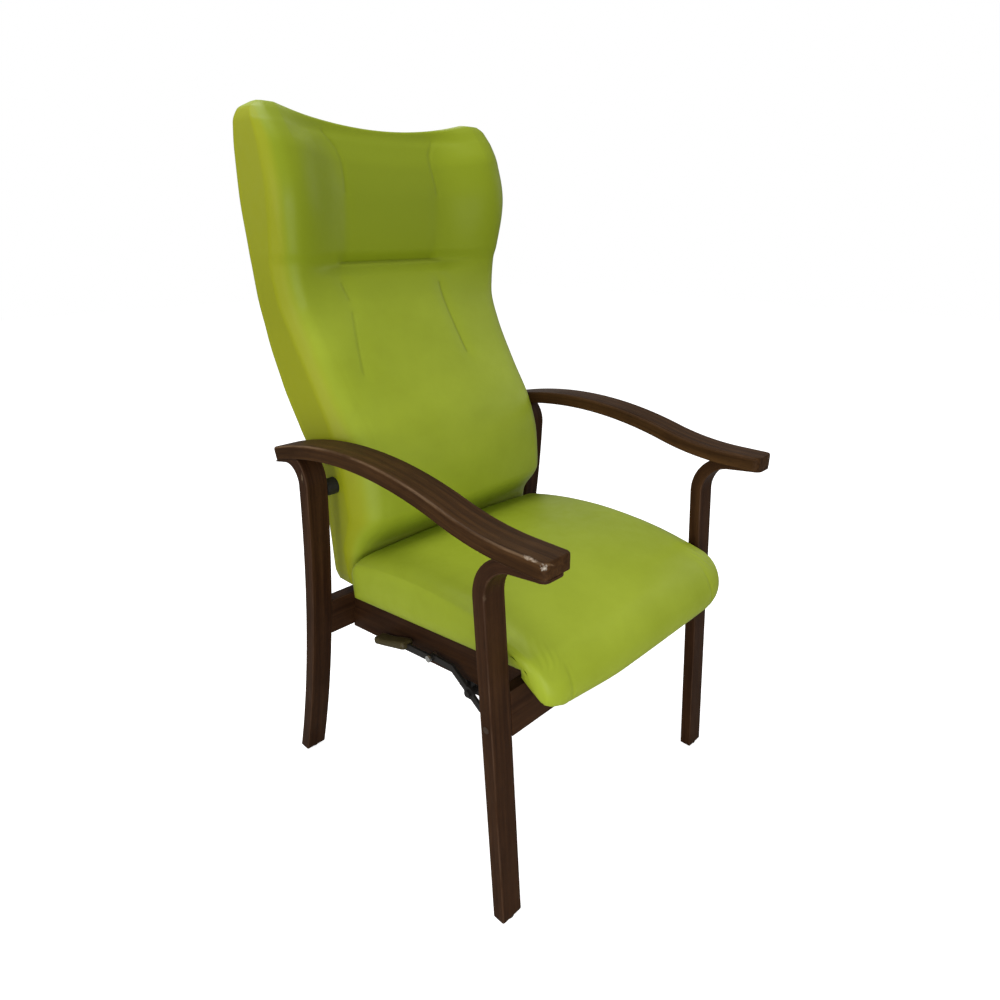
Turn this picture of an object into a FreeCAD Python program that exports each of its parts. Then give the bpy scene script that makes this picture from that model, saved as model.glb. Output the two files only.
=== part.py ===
import FreeCAD, Part
import math
import os

V = FreeCAD.Vector

# Reclining wing-back armchair with bentwood arms and legs. Millimetres; the seat faces -Y,
# +Z is up, x = 0 is the middle plane and the feet stand on z = 0.

# Legs and arms
FRAME_WIDTH = 610.0
LEG_WIDTH = 42.0
FRONT_LEG_THICK = 22.0
FRONT_FOOT_Y = -300.0
FRONT_LEG_LEAN = 3.92
FRONT_BEND_RADIUS = 53.0
REAR_LEG_THICK = 25.0
REAR_FOOT_Y = 273.0
REAR_LEG_KICK = 109.0
REAR_LEG_RADIUS = 2400.0
REAR_BEND_RADIUS = 32.0
LEG_CHAMFER = 2.5
LONG_SHARE = 0.8
ARM_HEIGHT = 704.5
ARM_RISE = 45.0
ARM_WIDTH = 55.0
ARM_THICK = 24.0
ARM_PROUD = 1.0
ARM_TIP_OVERHANG = 66.0
ARM_CREST_Y = 29.0
ARM_END_Y = 266.0
ARM_ARCH_RADIUS = 798.0
ARM_DIP_RADIUS = 500.0
ARM_CORNER_ROUND = 10.0
ARM_EDGE_ROUND = 5.0
FRONT_WEDGE_ANGLE = 7.0
FRONT_WEDGE_TIP = 4.5
REAR_WEDGE_TIP = 2.0
REAR_KNEE_DROP = 89.5
GLIDE_HEIGHT = 3.0
GLIDE_DIA = 21.0

# Rails of the under-frame
FRONT_RAIL_DROP = 78.0
FRONT_RAIL_HEIGHT = 76.0
FRONT_RAIL_THICK = 22.0
REAR_RAIL_DROP = 110.0
REAR_RAIL_HEIGHT = 76.0
REAR_RAIL_THICK = 22.0
SIDE_RAIL_INSET = 51.0
SIDE_RAIL_THICK = 22.0
SIDE_RAIL_HEIGHT = 71.0
BLOCK_LEG = 42.0
BLOCK_HEIGHT = 36.0
LEG_BOLT_RISE = 29.0
LEG_BOLT_DIA = 8.0
LEG_BOLT_HEAD_DIA = 11.0
LEG_BOLT_HEAD = 5.0
LEG_BOLT_LENGTH = 92.0
CAP_DEPTH = 6.0
CAP_PROUD = 1.0
BARREL_NUT_DIA = 13.0
BARREL_NUT_LENGTH = 20.0
BARREL_NUT_FROM_END = 14.0
DOWEL_DIA = 10.0
DOWEL_LENGTH = 52.0
DOWEL_SPACING = 40.0

# Seat: its underside is a plane that rises to the front
SEAT_TILT = 6.0
SEAT_Z = 410.0
SEAT_SIDE_GAP = 15.0
SEAT_BOARD_THICK = 15.0
SEAT_BOARD_MARGIN = 33.0
SEAT_THICK = 78.0
SEAT_CROWN = 9.0
SEAT_FRONT_DROP = 73.0
SEAT_FRONT_OUT = 60.0
SEAT_LIP_GAP = 7.0
SEAT_BACK_GAP = 3.0
SEAT_CORNER = 22.0
SEAT_NOSE_RISE = 24.0
ROLL_BACK = 0.36
ROLL_DROP = 9.4
SHOULDER_BACK = 0.21
SHOULDER_RISE = 0.593
RUNNER_HEIGHT = 20.0
STRIP_THICK = 3.0
STRIP_WIDTH = 16.0
SLIDE_GAP = 0.3
PLATE_THICK = 5.0
PLATE_DROP = 48.0
SCREW_DIA = 8.0
SCREW_HEAD_DIA = 14.0
SCREW_HEAD = 4.0
SCREW_THREAD_DIA = 6.0
SCREW_THREAD = 17.0
SCREW_DROP = 36.0
SCREW_FIRST = -60.0
NECK_LENGTH = 29.1
SCREW_WALL = 12.0
SLOT_CLEARANCE = 0.5

# Back: hinged on the rear legs, its lower end drives the seat
RECLINE = 22.0
PIVOT_DROP = 100.5
PIVOT_DIA = 12.0
PIVOT_DEPTH = 17.0
PIVOT_HEAD_DIA = 22.0
PIVOT_HEAD = 4.0
BOSS_DIA = 30.0
BOSS_FLANGE_DIA = 52.0
BOSS_FLANGE = 5.0
WASHER_THICK = 2.0
RUN_FIT = 0.05
DRIVE_RISE = 13.64
DRIVE_LEAD = 8.5
DRIVE_PIN_DIA = 12.0
DRIVE_END_RADIUS = 15.0
YOKE_RADIUS = 14.0
YOKE_NECK = 10.0
STILE_THICK = 18.0
BACK_SIDE_GAP = 8.0
BACK_WALL = 30.0
BACK_LOW_DROP = 6.0
BACK_REAR_CROWN = 1.5
BACK_TOP_DIP_RADIUS = 920.0
BACK_TOP_DIP = 25.0
HOLLOW_FROM = 290.0
HOLLOW_FULL = 385.0
HOLLOW_FLAT = 0.45
CROSS_RAIL_HEIGHT = 40.0
WEB_THICK = 2.0
WEB_HEIGHT = 50.0
WEB_PITCH = 72.0
POCKET_GAP = 0.3

# Locking gas spring, parallel to the seat's slide
CYLINDER_DIA = 28.0
CYLINDER_WALL = 2.5
CYLINDER_LENGTH = 112.0
CYLINDER_GLAND = 12.0
CYLINDER_END = 6.0
ROD_DIA = 10.0
ROD_OUT = 81.0
PISTON_LENGTH = 12.0
HEAD_LENGTH = 24.0
HEAD_WIDTH = 26.0
HEAD_HEIGHT = 30.0
HEAD_AT = -118.0
EYE_LENGTH = 18.0
EYE_THICK = 12.0
CLEVIS_PIN_DIA = 8.0
CLEVIS_CHEEK = 4.0
CROSS_BAR_DEPTH = 20.0
CROSS_BAR_HEIGHT = 16.0
RELEASE_PIN_DIA = 8.0
RELEASE_PIN_LENGTH = 24.0
RELEASE_PIN_OUT = 14.7

# Release lever
SHAFT_DIA = 12.0
SHAFT_GAP = 2.5
SHAFT_END = 34.0
LEVER_OUT = 21.0
LEVER_BAR_THICK = 5.0
LEVER_BAR_HEIGHT = 12.0
LEVER_BOLT_DIA = 6.0
LEVER_BOLT_HEAD_DIA = 12.0
LEVER_BOLT_HEAD = 4.0
PADDLE_LENGTH = 92.0
PADDLE_WIDTH = 27.0
PADDLE_THICK = 14.0
PADDLE_ROUND = 5.0
PADDLE_DROOP = 16.0
PADDLE_OVERLAP = 26.0
FINGER_WIDTH = 8.0
FINGER_THICK = 6.0
HUB_DIA = 22.0
HUB_LENGTH = 14.0
BEARING_LENGTH = 18.0
BEARING_WALL = 6.0

# Values that follow from the sizes above
FRAME_HALF = FRAME_WIDTH / 2
FRONT_RAIL_LOW = SEAT_Z - FRONT_RAIL_DROP
FRONT_RAIL_HIGH = FRONT_RAIL_LOW + FRONT_RAIL_HEIGHT
REAR_RAIL_LOW = SEAT_Z - REAR_RAIL_DROP
REAR_RAIL_HIGH = REAR_RAIL_LOW + REAR_RAIL_HEIGHT
LEG_BOLT_Z = FRONT_RAIL_LOW + LEG_BOLT_RISE
LEG_IN = FRAME_HALF - LEG_WIDTH
ARM_OUT = FRAME_HALF + ARM_PROUD
ARM_IN = ARM_OUT - ARM_WIDTH
ARM_FLAT_Z = ARM_HEIGHT - ARM_RISE
ARM_TIP_Y = FRONT_FOOT_Y - ARM_TIP_OVERHANG
REAR_KNEE_Y = REAR_FOOT_Y - REAR_LEG_KICK
REAR_KNEE_Z = ARM_HEIGHT - REAR_KNEE_DROP
SIDE_RAIL_OUT = LEG_IN - SIDE_RAIL_INSET
SIDE_RAIL_IN = SIDE_RAIL_OUT - SIDE_RAIL_THICK
SEAT_HALF = LEG_IN - SEAT_SIDE_GAP
BACK_HALF = ARM_IN - BACK_SIDE_GAP
PIVOT_Z = ARM_HEIGHT - PIVOT_DROP
PIVOT_RISE = PIVOT_Z - SEAT_Z
STILE_OUT = BACK_HALF - BACK_WALL
STILE_IN = STILE_OUT - STILE_THICK
PLATE_OUT = SIDE_RAIL_IN - SLIDE_GAP
PLATE_IN = PLATE_OUT - PLATE_THICK
RAIL_TOP = -RUNNER_HEIGHT - SLIDE_GAP - STRIP_THICK
RAIL_BOTTOM = RAIL_TOP - SIDE_RAIL_HEIGHT
BOARD_HALF = SEAT_HALF - SEAT_BOARD_MARGIN
GAS_DROP = CROSS_BAR_HEIGHT + HEAD_HEIGHT / 2 - RAIL_BOTTOM
TILT = math.radians(SEAT_TILT)
BIG = 3000.0

parts = {}


def point(y, z):
    """A point of the side view, in the middle plane."""
    return V(0, y, z)


def line(a, b):
    return Part.LineSegment(a, b).toShape()


def arc(center, a, b):
    """The arc from a to b about center that is shorter than a half circle."""
    radius = (a - center).Length
    middle = center + ((a - center) + (b - center)).normalize() * radius
    return Part.Arc(a, middle, b).toShape()


def face(edges):
    return Part.Face(Part.Wire(edges))


def polygon(points):
    return face([line(a, b) for a, b in zip(points, points[1:] + points[:1])])


def prism(side_face, x0, x1):
    """A side-view face carried from x0 to x1."""
    return side_face.translated(V(x0, 0, 0)).extrude(V(x1 - x0, 0, 0))


def box(x0, x1, y0, y1, z0, z1):
    return Part.makeBox(x1 - x0, y1 - y0, z1 - z0, V(x0, y0, z0))


def rod(dia, x0, x1, y, z):
    """A round bar along X."""
    return Part.makeCylinder(dia / 2, x1 - x0, V(x0, y, z), V(1, 0, 0))


def tube(dia, bore, x0, x1, y, z):
    return rod(dia, x0, x1, y, z).cut(rod(bore, x0, x1, y, z))


def mirror(shape):
    return shape.mirror(V(0, 0, 0), V(1, 0, 0))


def both(name, shape):
    """The same piece on the left (+X) and on the right (-X) of a seated person."""
    parts["left_" + name] = shape
    parts["right_" + name] = mirror(shape)


def group(shapes):
    return Part.makeCompound(shapes)


def pair(shape):
    return group([shape, mirror(shape)])


def sharp_edges(solid):
    """Edges where two faces meet at more than 30 degrees."""
    found = []
    for edge in solid.Edges:
        owners = solid.ancestorsOfType(edge, Part.Face)
        if len(owners) != 2:
            continue
        middle = edge.valueAt((edge.FirstParameter + edge.LastParameter) / 2)
        normals = []
        for owner in owners:
            u, v = owner.Surface.parameter(middle)
            normals.append(owner.normalAt(u, v))
        if normals[0].dot(normals[1]) < math.cos(math.radians(30)):
            found.append(edge)
    return found


def in_seat(shape):
    """From the seat's own frame (y along the slide, z square to it) to the chair's frame."""
    turned = shape.copy()
    turned.rotate(V(0, 0, 0), V(1, 0, 0), -SEAT_TILT)
    turned.translate(V(0, 0, SEAT_Z))
    return turned


def seat_point(y, z):
    """A point of the chair's side view, given in the seat's frame."""
    along = y * math.cos(TILT) - (z - SEAT_Z) * math.sin(TILT)
    square = y * math.sin(TILT) + (z - SEAT_Z) * math.cos(TILT)
    return along, square


def chair_point(along, square):
    """A point of the seat's frame, given in the chair's side view."""
    y = along * math.cos(TILT) + square * math.sin(TILT)
    z = SEAT_Z - along * math.sin(TILT) + square * math.cos(TILT)
    return point(y, z)


def crossing(a, a_dir, b, b_dir):
    """Where two lines of the side view meet."""
    cross = a_dir.y * b_dir.z - a_dir.z * b_dir.y
    gap = b - a
    along = (gap.y * b_dir.z - gap.z * b_dir.y) / cross
    return a + a_dir * along


# Arm: an arch of one radius that runs into a flat hand rest through an opposite curve
arch_center = point(ARM_CREST_Y, ARM_HEIGHT - ARM_ARCH_RADIUS)
dip_rise = ARM_FLAT_Z + ARM_DIP_RADIUS - arch_center.z
dip_run = math.sqrt((ARM_ARCH_RADIUS + ARM_DIP_RADIUS) ** 2 - dip_rise ** 2)
dip_center = point(ARM_CREST_Y - dip_run, ARM_FLAT_Z + ARM_DIP_RADIUS)
arch_to_dip = (dip_center - arch_center).normalize()
end_angle = math.asin((ARM_END_Y - ARM_CREST_Y) / ARM_ARCH_RADIUS)
end_ray = point(math.sin(end_angle), math.cos(end_angle))


def arm_line(depth):
    """Corner points of the arm's line at a depth under its top face, from the rear to the tip."""
    arch = ARM_ARCH_RADIUS - depth
    return [arch_center + end_ray * arch, arch_center + arch_to_dip * arch,
            point(dip_center.y, ARM_FLAT_Z - depth), point(ARM_TIP_Y, ARM_FLAT_Z - depth)]


top_line = arm_line(0)
under_line = arm_line(ARM_THICK)
arm_face = face([
    arc(arch_center, top_line[0], top_line[1]), arc(dip_center, top_line[1], top_line[2]),
    line(top_line[2], top_line[3]), line(top_line[3], under_line[3]),
    line(under_line[3], under_line[2]), arc(dip_center, under_line[2], under_line[1]),
    arc(arch_center, under_line[1], under_line[0]), line(under_line[0], top_line[0])])
arm = prism(arm_face, ARM_IN, ARM_OUT)
corners = [edge for edge in arm.Edges
           if len(edge.Vertexes) == 2 and abs(edge.Vertexes[0].X - edge.Vertexes[1].X) < 0.01
           and edge.Length < ARM_THICK + 0.01]
arm = arm.makeFillet(ARM_CORNER_ROUND, corners)
arm = arm.makeFillet(ARM_EDGE_ROUND, sharp_edges(arm))
both("arm", arm)
arm_room = prism(arm_face, ARM_IN - ARM_WIDTH, ARM_OUT + ARM_WIDTH)


def chamfered(leg):
    """The leg with its long edges bevelled, from the foot round the bend."""
    longest = max(edge.Length for edge in leg.Edges)
    return leg.makeChamfer(LEG_CHAMFER, [edge for edge in leg.Edges if edge.Length > longest * LONG_SHARE])

# Front leg: straight, leaning back, its top bent forward into a wedge under the hand rest
lean = math.radians(FRONT_LEG_LEAN)
leg_up = point(math.sin(lean), math.cos(lean))
leg_ahead = point(-math.cos(lean), math.sin(lean))
foot = point(FRONT_FOOT_Y, 0)
wedge = math.radians(FRONT_WEDGE_ANGLE)
wedge_back = point(math.cos(wedge), -math.sin(wedge))
wedge_down = point(-math.sin(wedge), -math.cos(wedge))
wedge_tip = point(ARM_TIP_Y, ARM_FLAT_Z - ARM_THICK - FRONT_WEDGE_TIP)
bend_center = crossing(foot + leg_ahead * FRONT_BEND_RADIUS, leg_up,
                       wedge_tip + wedge_down * FRONT_BEND_RADIUS, wedge_back)
outer_bend = FRONT_BEND_RADIUS + FRONT_LEG_THICK


def on_front_leg(z, depth):
    """A point of the front leg at a height and a depth behind its front face."""
    start = foot - leg_ahead * depth
    return start + leg_up * ((z - start.z) / leg_up.z)


front_leg_face = face([
    line(on_front_leg(GLIDE_HEIGHT, 0), bend_center - leg_ahead * FRONT_BEND_RADIUS),
    arc(bend_center, bend_center - leg_ahead * FRONT_BEND_RADIUS,
        bend_center - wedge_down * FRONT_BEND_RADIUS),
    line(bend_center - wedge_down * FRONT_BEND_RADIUS, wedge_tip),
    line(wedge_tip, wedge_tip + point(0, ARM_THICK)),
    line(wedge_tip + point(0, ARM_THICK), bend_center - wedge_down * outer_bend),
    arc(bend_center, bend_center - wedge_down * outer_bend, bend_center - leg_ahead * outer_bend),
    line(bend_center - leg_ahead * outer_bend, on_front_leg(GLIDE_HEIGHT, FRONT_LEG_THICK)),
    line(on_front_leg(GLIDE_HEIGHT, FRONT_LEG_THICK), on_front_leg(GLIDE_HEIGHT, 0))])
front_leg = chamfered(prism(front_leg_face, LEG_IN, FRAME_HALF)).cut(arm_room)
front_leg = max(front_leg.Solids, key=lambda solid: solid.Volume)

# Rear leg: one long curve, its top bent back into a wedge under the arm's end
knee = point(REAR_KNEE_Y, REAR_KNEE_Z)
rear_foot = point(REAR_FOOT_Y, 0)
chord = rear_foot - knee
chord_back = point(-chord.z, chord.y).normalize()
sweep_depth = math.sqrt(REAR_LEG_RADIUS ** 2 - (chord.Length / 2) ** 2)
sweep_center = knee + chord * 0.5 + chord_back * sweep_depth


def on_rear_leg(z, depth):
    """A point of the rear leg at a height and a depth behind its front face."""
    radius = REAR_LEG_RADIUS - depth
    return point(sweep_center.y - math.sqrt(radius ** 2 - (z - sweep_center.z) ** 2), z)


knee_back = (sweep_center - knee).normalize()
rear_bend_outer = REAR_BEND_RADIUS + REAR_LEG_THICK
rear_bend = knee + knee_back * rear_bend_outer
rear_tip = under_line[0] - point(0, REAR_WEDGE_TIP)
reach = rear_tip - rear_bend
reach_turn = math.acos(REAR_BEND_RADIUS / reach.Length)
reach_angle = math.atan2(reach.z, reach.y) + reach_turn
lower_touch = rear_bend + point(math.cos(reach_angle), math.sin(reach_angle)) * REAR_BEND_RADIUS
upper_touch = rear_bend + point(0, rear_bend_outer)
rear_leg_face = face([
    arc(sweep_center, on_rear_leg(GLIDE_HEIGHT, 0), knee),
    arc(rear_bend, knee, upper_touch),
    line(upper_touch, rear_tip + point(0, ARM_THICK / 2)),
    line(rear_tip + point(0, ARM_THICK / 2), rear_tip),
    line(rear_tip, lower_touch),
    arc(rear_bend, lower_touch, rear_bend - knee_back * REAR_BEND_RADIUS),
    arc(sweep_center, rear_bend - knee_back * REAR_BEND_RADIUS,
        on_rear_leg(GLIDE_HEIGHT, REAR_LEG_THICK)),
    line(on_rear_leg(GLIDE_HEIGHT, REAR_LEG_THICK), on_rear_leg(GLIDE_HEIGHT, 0))])
rear_leg = chamfered(prism(rear_leg_face, LEG_IN, FRAME_HALF)).cut(arm_room)
rear_leg = max(rear_leg.Solids, key=lambda solid: solid.Volume)

# Floor glides under the four feet
glides = []
for foot_middle in (on_front_leg(GLIDE_HEIGHT, FRONT_LEG_THICK / 2),
                    on_rear_leg(GLIDE_HEIGHT, REAR_LEG_THICK / 2)):
    glide = Part.makeCylinder(GLIDE_DIA / 2, GLIDE_HEIGHT,
                              V(FRAME_HALF - LEG_WIDTH / 2, foot_middle.y, 0))
    glides += [glide, mirror(glide)]
parts["floor_glides"] = group(glides)

# Front and rear rails between the legs, flush with the legs' front faces
front_rail = prism(polygon([
    on_front_leg(FRONT_RAIL_LOW, 0), on_front_leg(FRONT_RAIL_HIGH, 0),
    on_front_leg(FRONT_RAIL_HIGH, FRONT_RAIL_THICK),
    on_front_leg(FRONT_RAIL_LOW, FRONT_RAIL_THICK)]), -LEG_IN, LEG_IN)
rear_low = on_rear_leg(REAR_RAIL_LOW, 0)
rear_high = on_rear_leg(REAR_RAIL_HIGH, 0)
rear_rail_up = (rear_high - rear_low).normalize()
rear_rail_back = point(rear_rail_up.z, -rear_rail_up.y)
rear_rail = prism(polygon([
    rear_low, rear_high, rear_high + rear_rail_back * REAR_RAIL_THICK,
    rear_low + rear_rail_back * REAR_RAIL_THICK]), -LEG_IN, LEG_IN)

# Bolt, barrel nut and plug that hold each front leg to the front rail
bolt_axis = on_front_leg(LEG_BOLT_Z, FRONT_LEG_THICK / 2)
bolt_head_out = FRAME_HALF + CAP_PROUD - CAP_DEPTH
bolt_head_in = bolt_head_out - LEG_BOLT_HEAD
bolt_tip = bolt_head_in - LEG_BOLT_LENGTH
nut_x = bolt_tip + BARREL_NUT_FROM_END
bolt = rod(LEG_BOLT_DIA, bolt_tip, bolt_head_in, bolt_axis.y, bolt_axis.z)
bolt = bolt.fuse(rod(LEG_BOLT_HEAD_DIA, bolt_head_in, bolt_head_out, bolt_axis.y, bolt_axis.z))
bolt_room = rod(LEG_BOLT_DIA + 2 * RUN_FIT, bolt_tip - 1, bolt_head_in, bolt_axis.y, bolt_axis.z)
head_room = rod(LEG_BOLT_HEAD_DIA + 2 * RUN_FIT, bolt_head_in, FRAME_HALF + 1,
                bolt_axis.y, bolt_axis.z)
nut_base = V(nut_x, bolt_axis.y, bolt_axis.z - BARREL_NUT_LENGTH / 2)
nut = Part.makeCylinder(BARREL_NUT_DIA / 2, BARREL_NUT_LENGTH, nut_base).cut(bolt_room)
nut_room = Part.makeCylinder(BARREL_NUT_DIA / 2 + RUN_FIT, BARREL_NUT_LENGTH + FRONT_RAIL_HEIGHT,
                             nut_base - V(0, 0, FRONT_RAIL_HEIGHT))
cap = rod(LEG_BOLT_HEAD_DIA, bolt_head_out, FRAME_HALF + CAP_PROUD, bolt_axis.y, bolt_axis.z)
for cutter in (bolt_room, nut_room):
    front_rail = front_rail.cut(cutter).cut(mirror(cutter))
front_leg = front_leg.cut(bolt_room).cut(head_room)
parts["front_rail"] = front_rail
both("front_leg", front_leg)
parts["leg_bolts"] = pair(bolt)
parts["barrel_nuts"] = pair(nut)
parts["bolt_caps"] = pair(cap)

# Dowels between the rear rail and the rear legs
dowels = []
rail_middle = (rear_low + rear_high) * 0.5 + rear_rail_back * (REAR_RAIL_THICK / 2)
for step in (-0.5, 0.5):
    spot = rail_middle + rear_rail_up * (step * DOWEL_SPACING)
    start = LEG_IN - DOWEL_LENGTH / 2
    dowels.append(rod(DOWEL_DIA, start, start + DOWEL_LENGTH, spot.y, spot.z))
    hole = rod(DOWEL_DIA + 2 * RUN_FIT, start - 1, start + DOWEL_LENGTH + 1, spot.y, spot.z)
    rear_rail = rear_rail.cut(hole).cut(mirror(hole))
    rear_leg = rear_leg.cut(hole)
parts["rear_rail"] = rear_rail
parts["rear_rail_dowels"] = group(dowels + [mirror(dowel) for dowel in dowels])

# Side rails, inboard of the legs, from the front rail to the rear rail along the seat's tilt
slide_ahead = point(-math.cos(TILT), math.sin(TILT))
front_rail_rear = on_front_leg(FRONT_RAIL_LOW, FRONT_RAIL_THICK)
rail_corners = []
for square in (RAIL_BOTTOM, RAIL_TOP):
    edge_line = chair_point(0, square)
    ends = [crossing(edge_line, slide_ahead, front_rail_rear, leg_up),
            crossing(edge_line, slide_ahead, rear_low, rear_rail_up)]
    rail_corners.append(ends)
side_rail = prism(polygon([rail_corners[0][0], rail_corners[0][1],
                           rail_corners[1][1], rail_corners[1][0]]), SIDE_RAIL_IN, SIDE_RAIL_OUT)

# Glued corner blocks behind the front rail and ahead of the rear rail
behind_front = prism(polygon([
    front_rail_rear - leg_up * BIG, front_rail_rear + leg_up * BIG,
    front_rail_rear + leg_up * BIG + point(BIG, 0),
    front_rail_rear - leg_up * BIG + point(BIG, 0)]), -BIG, BIG)
ahead_rear = prism(polygon([
    rear_low - rear_rail_up * BIG, rear_low + rear_rail_up * BIG,
    rear_low + rear_rail_up * BIG - point(BIG, 0),
    rear_low - rear_rail_up * BIG - point(BIG, 0)]), -BIG, BIG)
blocks = []
for ends, turn, keep in ((0, 1, behind_front), (1, -1, ahead_rear)):
    corner = seat_point(rail_corners[0][ends].y, rail_corners[0][ends].z)[0]
    edge_at = corner + turn * BLOCK_LEG
    overrun = corner - turn * BLOCK_LEG
    plan = [V(SIDE_RAIL_IN, edge_at, RAIL_BOTTOM), V(SIDE_RAIL_IN, overrun, RAIL_BOTTOM),
            V(SIDE_RAIL_IN - 2 * BLOCK_LEG, overrun, RAIL_BOTTOM)]
    block = in_seat(polygon(plan).extrude(V(0, 0, BLOCK_HEIGHT))).common(keep)
    blocks += [block, mirror(block)]
parts["corner_blocks"] = group(blocks)

# Hinge point of the back in the middle of the rear leg, and the drive point at its lower end
pivot = point((on_rear_leg(PIVOT_Z, 0).y + on_rear_leg(PIVOT_Z, REAR_LEG_THICK).y) / 2, PIVOT_Z)
lead = math.radians(DRIVE_LEAD)
DRIVE_ARM = (seat_point(pivot.y, pivot.z)[1] - DRIVE_RISE) / math.cos(lead)
drive = pivot + (point(-math.sin(TILT), -math.cos(TILT)) * math.cos(lead)
                 + point(math.cos(TILT), -math.sin(TILT)) * math.sin(lead)) * DRIVE_ARM
drive_along, drive_square = seat_point(drive.y, drive.z)
reclined = math.radians(RECLINE)
TRAVEL = DRIVE_ARM * (math.sin(reclined - lead) + math.sin(lead))
DRIVE_SINK = DRIVE_ARM * (1 - math.cos(lead))
DRIVE_LIFT = DRIVE_ARM * (math.cos(lead) - math.cos(reclined - lead))

# Pivot pins, their bosses on the back and the washers between boss and leg
pin_end = LEG_IN + PIVOT_DEPTH
pin_shoulder = STILE_IN - SLIDE_GAP
pin = rod(PIVOT_DIA, pin_shoulder, pin_end, pivot.y, pivot.z)
pin = pin.fuse(rod(PIVOT_HEAD_DIA, pin_shoulder - PIVOT_HEAD, pin_shoulder, pivot.y, pivot.z))
parts["pivot_pins"] = pair(pin)
PIVOT_BORE = PIVOT_DIA + 2 * RUN_FIT
pivot_hole = rod(PIVOT_BORE, pin_shoulder - PIVOT_HEAD, pin_end + RUN_FIT, pivot.y, pivot.z)
rear_leg = rear_leg.cut(pivot_hole)
both("rear_leg", rear_leg)
washer_in = LEG_IN - WASHER_THICK
parts["pivot_washers"] = pair(tube(BOSS_DIA, PIVOT_BORE, washer_in, LEG_IN, pivot.y, pivot.z))
boss_end = washer_in - SLIDE_GAP
boss = tube(BOSS_DIA, PIVOT_BORE, STILE_OUT, boss_end, pivot.y, pivot.z)
boss = boss.fuse(tube(BOSS_FLANGE_DIA, PIVOT_BORE, STILE_OUT, STILE_OUT + BOSS_FLANGE,
                      pivot.y, pivot.z))
both("pivot_boss", boss)

# Back frame. Each pair is (ahead of or behind the pivot, above or below the pivot).
STILE_FRONT = [(-6, -200), (-17, -164), (-27, -84), (-26, 0), (-5, 56),
               (26, 106), (78, 196), (107, 296), (116, 396), (126, 546)]
STILE_REAR = [(24, -200), (19, -154), (20, -84), (29, 0), (51, 56),
              (79, 106), (123, 196), (150, 296), (159, 396), (169, 546)]
STILE_TOP = PIVOT_Z + STILE_FRONT[-1][1]
LOWER_STRETCH = (PIVOT_RISE + BACK_LOW_DROP) / -STILE_FRONT[0][1]


def level(height):
    """The z of a height about the pivot; the part below the pivot reaches down to the seat."""
    return PIVOT_Z + height * (LOWER_STRETCH if height < 0 else 1)


def spline(points, shift):
    """A smooth side-view line through points about the pivot, shifted along Y."""
    curve = Part.BSplineCurve()
    curve.interpolate([point(pivot.y + y + shift, level(z)) for y, z in points])
    return curve.toShape()


def band(front, front_shift, rear, rear_shift):
    """The side-view face between two such lines."""
    ahead = spline(front, front_shift)
    behind = spline(rear, rear_shift)
    return face([ahead, line(ahead.Vertexes[-1].Point, behind.Vertexes[-1].Point), behind,
                 line(behind.Vertexes[0].Point, ahead.Vertexes[0].Point)])


def slab(z0, z1):
    return box(-BIG, BIG, -BIG, BIG, z0, z1)


stile_face = band(STILE_FRONT, 0, STILE_REAR, 0)
stile = prism(stile_face, STILE_IN, STILE_OUT)
stile = stile.fuse(rod(2 * DRIVE_END_RADIUS, STILE_IN, STILE_OUT, drive.y, drive.z))
stile = stile.cut(pivot_hole)
stile = stile.cut(rod(DRIVE_PIN_DIA + 2 * RUN_FIT, STILE_IN, STILE_OUT, drive.y, drive.z))
both("back_stile", stile)
CROSS_RAILS = {"back_bottom_rail": -172, "back_lumbar_rail": 40,
               "back_middle_rail": 300, "back_top_rail": 506}
for name, low in CROSS_RAILS.items():
    across = prism(stile_face, -STILE_IN, STILE_IN)
    parts[name] = across.common(slab(level(low), level(low) + CROSS_RAIL_HEIGHT))
web_band = prism(band(STILE_FRONT, -WEB_THICK, STILE_FRONT, 0), -STILE_OUT, STILE_OUT)
rail_lows = [level(low) for low in CROSS_RAILS.values()]
webs = []
for below, above in zip(rail_lows, rail_lows[1:]):
    room = above - below - CROSS_RAIL_HEIGHT
    count = int(room / WEB_PITCH)
    gap = (room - count * WEB_HEIGHT) / (count + 1)
    for step in range(count):
        low = below + CROSS_RAIL_HEIGHT + gap + step * (WEB_HEIGHT + gap)
        webs.append(web_band.common(slab(low, low + WEB_HEIGHT)).Solids[0])
parts["back_webbing"] = group(webs)

# Drive pins through the stiles' lower ends and their spacers
pin_inside = PLATE_IN - PLATE_THICK
drive_pin = rod(DRIVE_PIN_DIA, pin_inside, STILE_OUT, drive.y, drive.z)
parts["drive_pins"] = pair(drive_pin)
parts["drive_spacers"] = pair(tube(DRIVE_PIN_DIA + 2 * BEARING_WALL, DRIVE_PIN_DIA + 2 * RUN_FIT,
                                   PLATE_OUT + SLIDE_GAP, STILE_IN, drive.y, drive.z))

# Back cushion: plan sections up its height, as height above the pivot, half width less the
# back's, rear, side front and middle front about the pivot, and the front and rear corner radii
BACK_SECTIONS = [
    (-200, -14, 38, -14, -15, 8, 8), (-179, -8, 44, -21, -24, 14, 14),
    (-126, -4, 44, -36, -40, 30, 18), (-52, -1, 46, -85, -97, 50, 20),
    (14, 0, 63, -80, -93, 52, 22), (86, 0, 107, -57, -71, 52, 16),
    (160, 0, 152, -10, -21, 48, 16), (246, 3, 182, 44, 35, 44, 16),
    (301, 9, 187, 70, 66, 40, 16), (341, 14, 184, 74, 83, 38, 16),
    (362, 16, 183, 73, 102, 38, 16), (386, 18, 183, 66, 94, 38, 16),
    (476, 21, 187, 52, 97, 38, 16), (541, 20, 187, 63, 109, 36, 16),
    (581, 18, 186, 87, 125, 28, 18), (601, 11, 178, 108, 134, 20, 16),
    (610, -3, 161, 121, 137, 9, 9)]


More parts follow.
